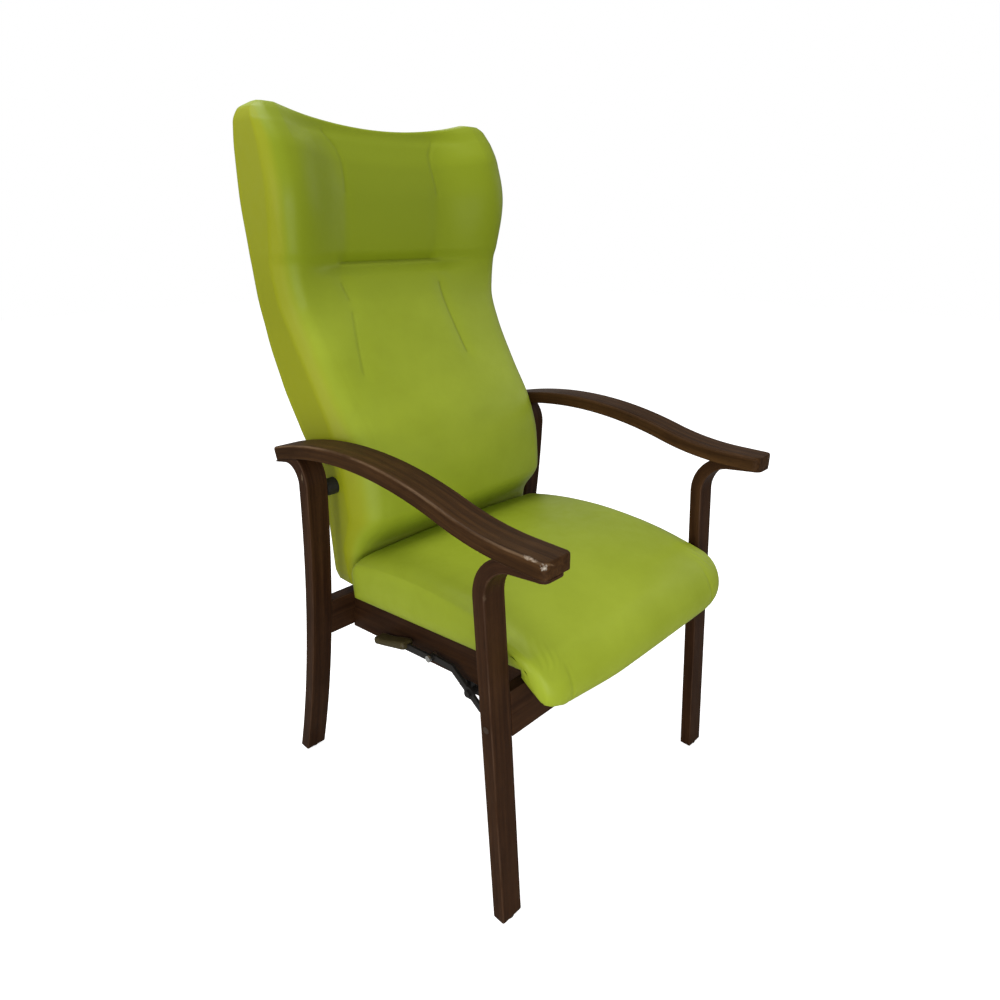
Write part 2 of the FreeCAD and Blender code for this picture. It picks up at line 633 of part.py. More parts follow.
def ease(value, low, high):
    """Nought below low, one above high and a smooth step between them."""
    share = min(max((value - low) / (high - low), 0), 1)
    return share * share * (3 - 2 * share)


def front_depth(share, height):
    """How deep the front lies at a share of the half width: bowed below, a flat hollow between wings above."""
    hollow = ease(height, HOLLOW_FROM, HOLLOW_FULL)
    return (1 - share ** 2) * (1 - hollow) + (1 - ease(share, HOLLOW_FLAT, 1)) * hollow


FRONT_STEPS = list(range(11))
FRONT_SHARES = [1 - step / 5 for step in FRONT_STEPS]


def back_section(height, wider, rear, side_front, middle_front, front_round, rear_round):
    """A closed plan line: crowned rear, rounded corners, straight sides, bowed or hollow front."""
    z = level(height)
    half = BACK_HALF + wider
    back_y = pivot.y + rear
    front_y = pivot.y + side_front
    corners = []
    for side in (1, -1):
        corners.append({
            "rear": V(side * (half - rear_round), back_y, z),
            "rear_side": V(side * half, back_y - rear_round, z),
            "rear_at": V(side * (half - rear_round), back_y - rear_round, z),
            "front_side": V(side * half, front_y + front_round, z),
            "front": V(side * (half - front_round), front_y, z),
            "front_at": V(side * (half - front_round), front_y + front_round, z)})
    left, right = corners
    bow = Part.BSplineCurve()
    bow.interpolate(Points=[V(share * (half - front_round),
                              front_y + (middle_front - side_front) * front_depth(abs(share), height), z)
                            for share in FRONT_SHARES], Parameters=FRONT_STEPS)
    return Part.Wire([
        Part.Arc(right["rear"], V(0, back_y + BACK_REAR_CROWN, z), left["rear"]).toShape(),
        arc(left["rear_at"], left["rear"], left["rear_side"]),
        line(left["rear_side"], left["front_side"]),
        arc(left["front_at"], left["front_side"], left["front"]),
        bow.toShape(),
        arc(right["front_at"], right["front"], right["front_side"]),
        line(right["front_side"], right["rear_side"]),
        arc(right["rear_at"], right["rear_side"], right["rear"])])


back_form = Part.makeLoft([back_section(*section) for section in BACK_SECTIONS], True, False)
back_top = PIVOT_Z + BACK_SECTIONS[-1][0]
dip = Part.makeCylinder(BACK_TOP_DIP_RADIUS, BIG,
                        V(0, -BIG / 2, back_top - BACK_TOP_DIP + BACK_TOP_DIP_RADIUS), V(0, 1, 0))
back_form = back_form.cut(dip)
pocket_half = STILE_OUT + POCKET_GAP
pocket = prism(band(STILE_FRONT, -WEB_THICK - POCKET_GAP, STILE_REAR, BIG), -pocket_half, pocket_half)
below = box(-pocket_half, pocket_half, drive.y - 2 * DRIVE_END_RADIUS, BIG,
            drive.z - BIG, drive.z + DRIVE_END_RADIUS)
cushion = back_form.cut(pocket).cut(below)
for room in (rod(BOSS_FLANGE_DIA + 1, STILE_OUT, STILE_OUT + BOSS_FLANGE + POCKET_GAP,
                 pivot.y, pivot.z),
             rod(BOSS_DIA + 1, STILE_OUT, BIG, pivot.y, pivot.z)):
    cushion = cushion.cut(room).cut(mirror(room))
parts["back_cushion"] = max(cushion.Solids, key=lambda solid: solid.Volume)
panel_room = prism(band(STILE_REAR, POCKET_GAP, STILE_REAR, BIG), -STILE_OUT, STILE_OUT)
rear_panel = back_form.common(panel_room)
rear_panel = rear_panel.common(slab(drive.z + 3 * DRIVE_END_RADIUS, STILE_TOP - POCKET_GAP))
parts["back_rear_panel"] = max(rear_panel.Solids, key=lambda solid: solid.Volume)

# Seat cushion and board, in the seat's frame: side sections carried across the width
back_low_front = pivot.y + min(BACK_SECTIONS[1][4], BACK_SECTIONS[2][4])
SEAT_REAR = seat_point(back_low_front, SEAT_Z)[0] - SEAT_BACK_GAP
lip_limit = on_front_leg(FRONT_RAIL_HIGH, 0)
LIP_REAR = seat_point(lip_limit.y, lip_limit.z)[0] - SEAT_LIP_GAP
SEAT_FRONT = LIP_REAR - SEAT_FRONT_OUT + SEAT_LIP_GAP
SEAT_LOW = -SEAT_FRONT_DROP
SEAT_TOP_HEADING = V(0, -1, SEAT_CROWN / SEAT_THICK).normalize()


def tangent_arc(start, heading, end):
    """The arc that leaves start along heading and reaches end, and its heading there."""
    chord = end - start
    square = heading.cross(chord).cross(heading).normalize()
    center = start + square * (chord.dot(chord) / (2 * chord.dot(square)))
    edge = arc(center, start, end)
    return edge, chord * (2 * heading.dot(chord) / chord.dot(chord)) - heading


def seat_section(x, lower_top, back_front, raise_low):
    """A closed side line: flat underside, rounded rear, crowned top, front roll and hanging lip."""
    top = SEAT_THICK - lower_top
    front = SEAT_FRONT + back_front
    low = SEAT_LOW + raise_low
    rear_top = V(x, SEAT_REAR, top - SEAT_CORNER)
    corner = V(x, SEAT_REAR - SEAT_CORNER, top)
    roll = V(x, front + ROLL_BACK * (SEAT_REAR - front), top - ROLL_DROP)
    nose = V(x, front, low + SEAT_NOSE_RISE)
    shoulder = V(x, front + SHOULDER_BACK * (roll.y - front),
                 nose.z + SHOULDER_RISE * (roll.z - nose.z))
    lip_low = V(x, (front + LIP_REAR) / 2, low)
    lip = V(x, LIP_REAR, nose.z)
    top_edge, heading = tangent_arc(corner, SEAT_TOP_HEADING, roll)
    edges = [line(V(x, LIP_REAR, 0), V(x, SEAT_REAR, 0)), line(V(x, SEAT_REAR, 0), rear_top),
             arc(V(x, corner.y, rear_top.z), rear_top, corner), top_edge]
    at = roll
    for target in (shoulder, nose, lip_low, lip):
        edge, heading = tangent_arc(at, heading, target)
        edges.append(edge)
        at = target
    return Part.Wire(edges + [line(lip, V(x, LIP_REAR, 0))])


SEAT_INSETS = [(1.0, 14, 15, 22), (0.97, 7, 7, 15), (0.9, 1, 2, 9), (0.75, -0.4 * SEAT_CROWN, 0, 5),
               (0.5, -0.75 * SEAT_CROWN, -2, 1), (0.25, -0.94 * SEAT_CROWN, -3, 0),
               (0.0, -SEAT_CROWN, -3, 0)]
seat_stations = [(-share, *rest) for share, *rest in SEAT_INSETS]
seat_stations += [(share, *rest) for share, *rest in reversed(SEAT_INSETS[:-1])]
seat_form = Part.makeLoft([seat_section(share * SEAT_HALF, *rest) for share, *rest in seat_stations],
                          True, False)
BOARD_FRONT = LIP_REAR + SEAT_BOARD_MARGIN
board = box(-BOARD_HALF, BOARD_HALF, BOARD_FRONT, SEAT_REAR, 0, SEAT_BOARD_THICK)
parts["seat_cushion"] = in_seat(seat_form.cut(board))
parts["seat_board"] = in_seat(board)

# Runners under the board, the slotted slide plates beside them and the strips they run on
runner = box(PLATE_OUT, SIDE_RAIL_OUT, BOARD_FRONT, SEAT_REAR, -RUNNER_HEIGHT, 0)
both("seat_runner", in_seat(runner))
strip_x = (SIDE_RAIL_IN + SIDE_RAIL_OUT - STRIP_WIDTH) / 2
strip = box(strip_x, strip_x + STRIP_WIDTH, BOARD_FRONT, SEAT_REAR, RAIL_TOP, RAIL_TOP + STRIP_THICK)
parts["rail_glide_strips"] = pair(in_seat(strip))


def slot(dia, y0, z0, y1, z1):
    """A round-ended slot through the slide plate."""
    run = V(0, y1 - y0, z1 - z0)
    cut = rod(dia, PLATE_IN - 1, PLATE_OUT + 1, y0, z0).fuse(rod(dia, PLATE_IN - 1, PLATE_OUT + 1, y1, z1))
    side = V(0, -run.z, run.y).normalize() * (dia / 2)
    start = V(PLATE_IN - 1, y0, z0)
    middle = polygon([start - side, start - side + run, start + side + run, start + side])
    return cut.fuse(middle.extrude(V(PLATE_THICK + 2, 0, 0)))


slot_low = drive_square - DRIVE_SINK - SLOT_CLEARANCE
slot_high = drive_square + DRIVE_LIFT + SLOT_CLEARANCE
plate_front = SCREW_FIRST - SCREW_WALL
plate_rear = drive_along - NECK_LENGTH
screw_spots = (SCREW_FIRST, plate_rear - SCREW_WALL - TRAVEL)
plate = box(PLATE_IN, PLATE_OUT, plate_front, plate_rear, -PLATE_DROP, 0)
plate = plate.fuse(box(PLATE_IN, PLATE_OUT, plate_rear, drive_along, -YOKE_NECK, 0))
plate = plate.fuse(box(PLATE_IN, PLATE_OUT, drive_along - YOKE_RADIUS, drive_along + YOKE_RADIUS,
                       slot_low, slot_high))
for slot_end in (slot_low, slot_high):
    plate = plate.fuse(rod(2 * YOKE_RADIUS, PLATE_IN, PLATE_OUT, drive_along, slot_end))
screw_slot = SCREW_DIA + 2 * SLOT_CLEARANCE
for screw_at in screw_spots:
    plate = plate.cut(slot(screw_slot, screw_at - SLOT_CLEARANCE, -SCREW_DROP,
                           screw_at + TRAVEL + SLOT_CLEARANCE, -SCREW_DROP))
plate = plate.cut(slot(DRIVE_PIN_DIA + 2 * SLOT_CLEARANCE, drive_along, slot_low, drive_along, slot_high))
both("slide_plate", in_seat(plate.removeSplitter()))

# Shoulder screws in the side rails that guide the slide plates
screws = []
for screw_at in screw_spots:
    head_out = PLATE_IN - SLIDE_GAP
    screw = rod(SCREW_HEAD_DIA, head_out - SCREW_HEAD, head_out, screw_at, -SCREW_DROP)
    screw = screw.fuse(rod(SCREW_DIA, head_out, SIDE_RAIL_IN, screw_at, -SCREW_DROP))
    thread_end = SIDE_RAIL_IN + SCREW_THREAD
    screw = screw.fuse(rod(SCREW_THREAD_DIA, SIDE_RAIL_IN, thread_end, screw_at, -SCREW_DROP))
    hole = rod(SCREW_THREAD_DIA + 2 * RUN_FIT, SIDE_RAIL_IN, thread_end + RUN_FIT, screw_at, -SCREW_DROP)
    side_rail = side_rail.cut(in_seat(hole))
    screws += [in_seat(screw), mirror(in_seat(screw))]
both("side_rail", side_rail)
parts["guide_screws"] = group(screws)

# Gas spring: release head under a cross bar, rod with piston, cylinder hung from the seat board
def bar_y(dia, y0, y1):
    """A round bar of the gas spring, along the slide."""
    return Part.makeCylinder(dia / 2, y1 - y0, V(0, y0, -GAS_DROP), V(0, 1, 0))


head_rear = HEAD_AT + HEAD_LENGTH
cylinder_front = head_rear + ROD_OUT
cylinder_rear = cylinder_front + CYLINDER_LENGTH
CYLINDER_BORE = CYLINDER_DIA - 2 * CYLINDER_WALL
piston_front = cylinder_front + CYLINDER_GLAND + 1
piston_rear = piston_front + PISTON_LENGTH
gas_rod = bar_y(ROD_DIA, head_rear, piston_rear)
gas_rod = gas_rod.fuse(bar_y(CYLINDER_BORE - 2 * SLIDE_GAP, piston_front, piston_rear))
parts["gas_rod"] = in_seat(gas_rod)
eye_at = cylinder_rear + EYE_LENGTH - EYE_THICK
cylinder = bar_y(CYLINDER_DIA, cylinder_front, cylinder_rear)
cylinder = cylinder.cut(bar_y(CYLINDER_BORE, cylinder_front + CYLINDER_GLAND,
                              cylinder_rear - CYLINDER_END))
cylinder = cylinder.cut(bar_y(ROD_DIA + 2 * RUN_FIT, cylinder_front, cylinder_front + CYLINDER_GLAND))
eye = box(-EYE_THICK / 2, EYE_THICK / 2, cylinder_rear, eye_at, -GAS_DROP - EYE_THICK / 2,
          -GAS_DROP + EYE_THICK / 2)
eye = eye.fuse(rod(EYE_THICK, -EYE_THICK / 2, EYE_THICK / 2, eye_at, -GAS_DROP))
clevis_hole = rod(CLEVIS_PIN_DIA + 2 * RUN_FIT, -BIG, BIG, eye_at, -GAS_DROP)
cylinder = cylinder.fuse(eye).cut(clevis_hole)
parts["gas_cylinder"] = in_seat(cylinder)
cheek_in = EYE_THICK / 2 + SLIDE_GAP
cheek_out = cheek_in + CLEVIS_CHEEK
cheek_low = -GAS_DROP - EYE_THICK
clevis = box(-cheek_out, cheek_out, eye_at - EYE_THICK / 2, eye_at + EYE_THICK, cheek_low, 0)
clevis = clevis.cut(box(-cheek_in, cheek_in, -BIG, BIG, -BIG, -CLEVIS_CHEEK))
foot_plate = box(-3 * cheek_out, 3 * cheek_out, eye_at - EYE_THICK / 2, eye_at + EYE_THICK,
                 -CLEVIS_CHEEK, 0)
clevis = clevis.fuse(foot_plate).cut(clevis_hole)
parts["gas_clevis"] = in_seat(clevis.removeSplitter())
clevis_pin = rod(CLEVIS_PIN_DIA, -cheek_out - CLEVIS_CHEEK, cheek_out + CLEVIS_CHEEK, eye_at, -GAS_DROP)
parts["gas_clevis_pin"] = in_seat(clevis_pin)
pin_front = HEAD_AT - RELEASE_PIN_OUT
parts["release_pin"] = in_seat(bar_y(RELEASE_PIN_DIA, pin_front, pin_front + RELEASE_PIN_LENGTH))
head = box(-HEAD_WIDTH / 2, HEAD_WIDTH / 2, HEAD_AT, head_rear, -GAS_DROP - HEAD_HEIGHT / 2,
           -GAS_DROP + HEAD_HEIGHT / 2)
head = head.cut(bar_y(RELEASE_PIN_DIA + 2 * RUN_FIT, HEAD_AT,
                      HEAD_AT + RELEASE_PIN_LENGTH - RELEASE_PIN_OUT + FINGER_THICK))
parts["release_head"] = in_seat(head)
bar_front = HEAD_AT + (HEAD_LENGTH - CROSS_BAR_DEPTH) / 2
cross_bar = box(-SIDE_RAIL_OUT, SIDE_RAIL_OUT, bar_front, bar_front + CROSS_BAR_DEPTH,
                RAIL_BOTTOM - CROSS_BAR_HEIGHT, RAIL_BOTTOM)
parts["cross_bar"] = in_seat(cross_bar)

# Release shaft across the chair, its two bearings and the finger that meets the release pin
lever_x = SIDE_RAIL_OUT + LEVER_OUT
finger_ahead = pin_front - SLIDE_GAP - FINGER_THICK
shaft_along = finger_ahead + FINGER_THICK / 2
shaft_square = RAIL_BOTTOM - SHAFT_GAP - SHAFT_DIA / 2
FINGER_REACH = shaft_square + GAS_DROP + RELEASE_PIN_DIA / 2
shaft = rod(SHAFT_DIA, -lever_x, SHAFT_END, shaft_along, shaft_square)
parts["release_shaft"] = in_seat(shaft)
shaft_room = rod(SHAFT_DIA + 2 * RUN_FIT, -BIG, BIG, shaft_along, shaft_square)
bearing_half = SHAFT_DIA / 2 + BEARING_WALL
inner_bearing = box(SHAFT_END - BEARING_LENGTH, SHAFT_END - 1, shaft_along - bearing_half, bar_front,
                    shaft_square - bearing_half, shaft_square + bearing_half)
outer_bearing = box(-SIDE_RAIL_OUT + 1, -SIDE_RAIL_OUT + 1 + BEARING_LENGTH,
                    shaft_along - bearing_half, shaft_along + bearing_half,
                    shaft_square - bearing_half, RAIL_BOTTOM)
parts["shaft_bearings"] = group([in_seat(bearing.cut(shaft_room))
                                 for bearing in (inner_bearing, outer_bearing)])
finger = box(-FINGER_WIDTH / 2, FINGER_WIDTH / 2, finger_ahead, finger_ahead + FINGER_THICK,
             -GAS_DROP - RELEASE_PIN_DIA / 2, shaft_square)
finger = finger.fuse(rod(HUB_DIA, -HUB_LENGTH / 2, HUB_LENGTH / 2, shaft_along, shaft_square))
parts["trip_finger"] = in_seat(finger.cut(shaft_room).removeSplitter())

# Release lever: crank on the shaft, arm bolted to it, and the paddle that a hand lifts
LEVER_BOLT_AT = (91.0, 26.0)
CRANK_ELBOW = (41.0, 28.0)
CRANK_TAIL = (-26.0, -18.0)
ARM_END = (176.0, 18.0)
shaft_spot = chair_point(shaft_along, shaft_square)


def from_shaft(spot):
    return shaft_spot + point(*spot)


def strip_bar(points, x0, x1):
    """A flat bar with round ends along points of the side view."""
    whole = None
    for a, b in zip(points, points[1:]):
        side = point(-(b - a).z, (b - a).y).normalize() * (LEVER_BAR_HEIGHT / 2)
        piece = prism(polygon([a - side, b - side, b + side, a + side]), x0, x1)
        for end in (a, b):
            piece = piece.fuse(rod(LEVER_BAR_HEIGHT, x0, x1, end.y, end.z))
        whole = whole.fuse(piece) if whole else piece
    return whole.removeSplitter()


crank_out = -lever_x + LEVER_BAR_THICK
arm_out = -lever_x
lever_bolt_spot = from_shaft(LEVER_BOLT_AT)
lever_hole = rod(LEVER_BOLT_DIA + 2 * RUN_FIT, -BIG, BIG, lever_bolt_spot.y, lever_bolt_spot.z)
crank = strip_bar([from_shaft(CRANK_TAIL), from_shaft((0, 0)), from_shaft(CRANK_ELBOW), lever_bolt_spot],
                  crank_out, crank_out + LEVER_BAR_THICK)
crank = crank.fuse(rod(HUB_DIA, crank_out, crank_out + LEVER_BAR_THICK,
                       shaft_spot.y, shaft_spot.z))
parts["lever_crank"] = crank.cut(in_seat(shaft_room)).cut(lever_hole)
lever_arm = strip_bar([lever_bolt_spot, from_shaft(ARM_END)], arm_out, arm_out + LEVER_BAR_THICK)
parts["lever_arm"] = lever_arm.cut(lever_hole)
bolt_out = arm_out - LEVER_BOLT_HEAD
nut_in = crank_out + LEVER_BAR_THICK
lever_bolt = rod(LEVER_BOLT_HEAD_DIA, bolt_out, arm_out, lever_bolt_spot.y, lever_bolt_spot.z)
lever_bolt = lever_bolt.fuse(rod(LEVER_BOLT_DIA, arm_out, nut_in, lever_bolt_spot.y, lever_bolt_spot.z))
lever_bolt = lever_bolt.fuse(rod(LEVER_BOLT_HEAD_DIA, nut_in, nut_in + LEVER_BOLT_HEAD,
                                 lever_bolt_spot.y, lever_bolt_spot.z))
parts["lever_bolt"] = lever_bolt
paddle_x = arm_out + LEVER_BAR_THICK / 2 - PADDLE_WIDTH / 2
paddle = box(paddle_x, paddle_x + PADDLE_WIDTH, -PADDLE_OVERLAP, PADDLE_LENGTH - PADDLE_OVERLAP,
             -PADDLE_THICK / 2, PADDLE_THICK / 2)
paddle = paddle.makeFillet(PADDLE_ROUND, paddle.Edges)
paddle.rotate(V(0, 0, 0), V(1, 0, 0), -PADDLE_DROOP)
paddle.translate(from_shaft(ARM_END))
parts["lever_paddle"] = max(paddle.cut(lever_arm).Solids, key=lambda solid: solid.Volume)

os.makedirs("parts", exist_ok=True)
whole_box = FreeCAD.BoundBox()
for name, shape in parts.items():
    shape.exportStep("parts/" + name + ".step")
    whole_box.add(shape.optimalBoundingBox())
    if not shape.isValid() or shape.Volume <= 0:
        print("check", name, shape.isValid(), shape.Volume)
print(len(parts), "nodes", whole_box)
print("back hinge", pivot, "drive point", drive)
print("slide", TRAVEL, "per radian", TRAVEL / reclined, "direction", slide_ahead)
print("lever shaft", shaft_spot, "release pin per radian", FINGER_REACH)
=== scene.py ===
import math
import bpy
import numpy as np
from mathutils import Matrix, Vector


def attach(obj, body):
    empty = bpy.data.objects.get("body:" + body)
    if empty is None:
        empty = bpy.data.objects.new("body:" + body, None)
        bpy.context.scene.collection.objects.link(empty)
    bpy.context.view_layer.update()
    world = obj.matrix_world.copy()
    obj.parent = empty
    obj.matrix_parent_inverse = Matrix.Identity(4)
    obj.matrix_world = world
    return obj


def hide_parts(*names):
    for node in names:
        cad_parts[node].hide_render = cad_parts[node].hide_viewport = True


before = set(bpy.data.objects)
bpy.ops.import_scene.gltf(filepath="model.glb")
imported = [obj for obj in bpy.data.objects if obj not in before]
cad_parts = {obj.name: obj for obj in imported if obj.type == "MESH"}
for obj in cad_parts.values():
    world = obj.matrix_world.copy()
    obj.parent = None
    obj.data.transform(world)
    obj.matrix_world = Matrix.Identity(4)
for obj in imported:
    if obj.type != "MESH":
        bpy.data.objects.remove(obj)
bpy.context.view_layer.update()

# Front legs: two bars of bent laminated wood, straight from the foot and bent forward at the top
# into a long wedge that is glued under the hand rest. Walnut stain, satin lacquer, worn edges.
LEG_INSIDE = 0.263
LEG_WIDTH = 0.042
LEG_EDGE = 0.0028
GLIDE_HEIGHT = 0.003
ARM_UNDER = 0.6355
ARM_THICK = 0.024
ARM_DIP = np.array([-0.3098, 1.1595])
ARM_DIP_RADIUS = 0.500
ARM_ARCH = np.array([0.029, -0.0935])
ARM_ARCH_RADIUS = 0.798


def straight(start, end, count):
    """Points of a straight line: start plus an even share of the way to end."""
    share = np.linspace(0, 1, count)[:, None]
    return np.asarray(start) * (1 - share) + np.asarray(end) * share


def bend(center, radius, first, last, count):
    """Points of a circle: center plus radius times (cos, sin) of an angle from first to last, in degrees."""
    angle = np.radians(np.linspace(first, last, count))
    return np.asarray(center) + radius * np.stack([np.cos(angle), np.sin(angle)], -1)


def arm_underside(y):
    """Height of the arms' underside: flat, then a circle about the dip, then a circle about the arch."""
    dip_radius, arch_radius = ARM_DIP_RADIUS + ARM_THICK, ARM_ARCH_RADIUS - ARM_THICK
    dip = ARM_DIP[1] - np.sqrt(np.maximum(dip_radius ** 2 - (y - ARM_DIP[0]) ** 2, 0))
    arch = ARM_ARCH[1] + np.sqrt(np.maximum(arch_radius ** 2 - (y - ARM_ARCH[0]) ** 2, 0))
    joint = ARM_ARCH[0] + (ARM_DIP[0] - ARM_ARCH[0]) * ARM_ARCH_RADIUS / (ARM_ARCH_RADIUS + ARM_DIP_RADIUS)
    return np.where(y < ARM_DIP[0], ARM_UNDER, np.where(y < joint, dip, arch))


def side_view(curve, x):
    """The curve's (y, z) points set at one x."""
    return np.column_stack([np.full(len(curve), x), curve])


def net(rows, columns):
    """Corner numbers of the four-sided faces between neighbouring closed rings of a grid."""
    ring, spot = np.meshgrid(np.arange(rows - 1), np.arange(columns), indexing="ij")
    after = (spot + 1) % columns
    faces = [ring * columns + spot, ring * columns + after,
             (ring + 1) * columns + after, (ring + 1) * columns + spot]
    return np.stack(faces, -1).reshape(-1, 4)


def fan(ring, middle, turned):
    """Three-sided faces from a closed ring of points to one middle point."""
    after = np.roll(ring, -1)
    first, second = (after, ring) if turned else (ring, after)
    return np.column_stack([first, second, np.full(len(ring), middle)])


def piece(name, points, faces, marks=None):
    """A mesh object at the origin. The faces are turned round if their signed volume, the sum of
    each triangle's corner products, is below zero; marks are values for each point."""
    points = np.asarray(points, float).reshape(-1, 3)
    halves = [np.asarray(f)[:, [0, i, i + 1]] for f in faces for i in range(1, np.shape(f)[1] - 1)]
    tri = np.concatenate(halves)
    volume = np.einsum("ij,ij->", points[tri[:, 0]], np.cross(points[tri[:, 1]], points[tri[:, 2]]))
    corners = []
    for group in faces:
        corners += (group[:, ::-1] if volume < 0 else group).tolist()
    mesh = bpy.data.meshes.new(name)
    mesh.from_pydata(points.tolist(), [], corners)
    for label, values in (marks or {}).items():
        values = np.asarray(values, np.float32)
        kind = "FLOAT" if values.size == len(points) else "FLOAT_VECTOR"
        mark = mesh.attributes.new(label, kind, "POINT")
        mark.data.foreach_set("value" if kind == "FLOAT" else "vector", values.ravel())
    mesh.shade_smooth()
    made = bpy.data.objects.new(name, mesh)
    bpy.context.scene.collection.objects.link(made)
    return made


def fit_on(made, body, slot, material, *nodes):
    """The piece takes its finish, moves with its body and stands for its solids."""
    made.data.materials.append(material)
    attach(made, body)
    if nodes:
        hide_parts(*nodes)
    return made


EASED = (0.001, 0.001)


def strip(inner, outer, side, width, edge, start_round=EASED, end_round=EASED, spacing=0.012):
    """A bar between two matching lines. Its section is a rectangle, width along side by the gap from
    inner to outer, whose corners are quarter circles of radius edge, or of two radii, at the inner and
    the outer line. Near each end the section shrinks by the radius less the circle's half chord, so
    the ends are rounded as well."""
    side = np.asarray(side, float)
    middle = (inner + outer) / 2
    length = np.concatenate([[0], np.cumsum(np.linalg.norm(np.diff(middle, axis=0), axis=1))])
    total = length[-1]
    near_end = np.array([0, 0.02, 0.07, 0.16, 0.3, 0.5, 0.75, 1.0])
    reach_a, reach_b = max(start_round), max(end_round)
    count = max(int((total - reach_a - reach_b) / spacing), 2)
    at = np.concatenate([near_end * reach_a, np.linspace(reach_a, total - reach_b, count + 1)[1:-1],
                         total - (near_end * reach_b)[::-1]])
    at = np.unique(np.concatenate([at, length[(length > reach_a) & (length < total - reach_b)]]).round(6))
    low = np.stack([np.interp(at, length, inner[:, k]) for k in range(3)], -1)
    high = np.stack([np.interp(at, length, outer[:, k]) for k in range(3)], -1)
    thick = np.linalg.norm(high - low, axis=1)
    through = (high - low) / thick[:, None]
    support = np.minimum(0.0015, 0.04 * thick)[:, None]
    turn = np.radians(np.linspace(0, 90, 6))
    zero, one = np.zeros(6), np.ones(6)
    corners = []
    for corner, (w, t) in enumerate([(0, 0), (1, 0), (1, 1), (0, 1)]):
        angle = turn + math.pi + corner * math.pi / 2
        sign_p, sign_q = 1 - 2 * w, 1 - 2 * t
        along = corner % 2 == 0
        ahead_p = [sign_p, -sign_p] if along else [0, 0]
        ahead_q = [0, 0] if along else [sign_q, -sign_q]
        corners.append([np.concatenate([w * one, [w, 1 - w] if along else [w, w]]),
                        np.concatenate([t * one, [t, t] if along else [t, 1 - t]]),
                        np.concatenate([sign_p + np.cos(angle), ahead_p]),
                        np.concatenate([sign_q + np.sin(angle), ahead_q]),
                        np.concatenate([zero, ahead_p]),
                        np.concatenate([zero, ahead_q]),
                        np.concatenate([np.sin(2 * turn) + 2 * corner, [0, 0]])])
    section = np.concatenate(corners, 1)
    by_width, by_thick, by_radius_p, by_radius_q, by_support_p, by_support_q, worn = section
    inner_edge, outer_edge = np.broadcast_to(edge, 2)
    radius = np.minimum(np.where(by_thick > 0.5, outer_edge, inner_edge), 0.42 * thick[:, None])
    p = by_width * width + by_radius_p * radius + by_support_p * support
    q = by_thick * thick[:, None] + by_radius_q * radius + by_support_q * support

    def shrink(which):
        """How far the section draws in near the ends: radius less the half chord of its circle."""
        drawn = np.zeros(len(at))
        for away, rounding in ((at, start_round[which]), (total - at, end_round[which])):
            short = np.clip(rounding - away, 0, rounding)
            drawn += rounding - np.sqrt(np.maximum(rounding ** 2 - short ** 2, 0))
        return drawn[:, None]

    p = width / 2 + (p - width / 2) * (1 - 2 * shrink(0) / width)
    q_middle = thick[:, None] / 2
    q = q_middle + (q - q_middle) * (1 - 2 * np.minimum(shrink(1), 0.45 * thick[:, None]) / thick[:, None])
    points = low[:, None] + p[..., None] * side + q[..., None] * through[:, None]
    rows, columns = p.shape
    grain = np.stack([np.broadcast_to(at[:, None], p.shape), p, q], -1)
    edge_mark = np.broadcast_to(np.where(worn > 0, np.mod(worn, 2), 0), p.shape)
    corner_mark = np.broadcast_to(np.floor(worn / 2), p.shape)
    flat = points.reshape(-1, 3)
    ends = np.stack([points[0].mean(0), points[-1].mean(0)])
    end_grain = np.stack([grain[0].mean(0), grain[-1].mean(0)])
    marks = {"grain": np.concatenate([grain.reshape(-1, 3), end_grain]),
             "edge": np.concatenate([edge_mark.ravel(), [0, 0]]),
             "corner": np.concatenate([corner_mark.ravel(), [0, 0]])}
    faces = [net(rows, columns), fan(np.arange(columns), rows * columns, True),
             fan(np.arange(columns) + (rows - 1) * columns, rows * columns + 1, False)]
    return np.concatenate([flat, ends]), faces, marks


def both_sides(name, solid, material, points, faces, marks):
    """A wooden piece of the frame on the left, and its mirror image on the right."""
    for side, sign in (("left", 1.0), ("right", -1.0)):
        made = piece(name + "_" + side, points * np.array([sign, 1.0, 1.0]), faces, marks)
        fit_on(made, "frame", "stained_wood", material, side + "_" + solid)


def node(tree, kind, inputs=None, **settings):
    """A shader node with its settings and inputs; an input is a plain value or another node's socket."""
    made = tree.nodes.new(kind)
    for key, value in settings.items():
        setattr(made, key, value)
    for key, value in (inputs or {}).items():
        socket = made.inputs[key]
        if isinstance(value, bpy.types.NodeSocket):
            tree.links.new(value, socket)
        else:
            socket.default_value = value
    return made


def effect(name, inputs, outputs):
    """An empty shader node group with named sockets, its input node and its output node."""
    group = bpy.data.node_groups.new(name, "ShaderNodeTree")
    for label, kind, value in inputs:
        socket = group.interface.new_socket(label, in_out="INPUT", socket_type="NodeSocket" + kind)
        if value is not None:
            socket.default_value = value
    for label, kind in outputs:
        group.interface.new_socket(label, in_out="OUTPUT", socket_type="NodeSocket" + kind)
    return group, group.nodes.new("NodeGroupInput"), group.nodes.new("NodeGroupOutput")


def use(tree, group, inputs=None):
    """A node group placed in a material."""
    return node(tree, "ShaderNodeGroup", inputs, node_tree=group)


def finish(name):
    """A new material with only its output and a Principled shader."""
    made = bpy.data.materials.new(name)
    made.use_nodes = True
    tree = made.node_tree
    tree.nodes.clear()
    out = tree.nodes.new("ShaderNodeOutputMaterial")
    shader = tree.nodes.new("ShaderNodeBsdfPrincipled")
    tree.links.new(shader.outputs["BSDF"], out.inputs["Surface"])
    return made, tree, shader


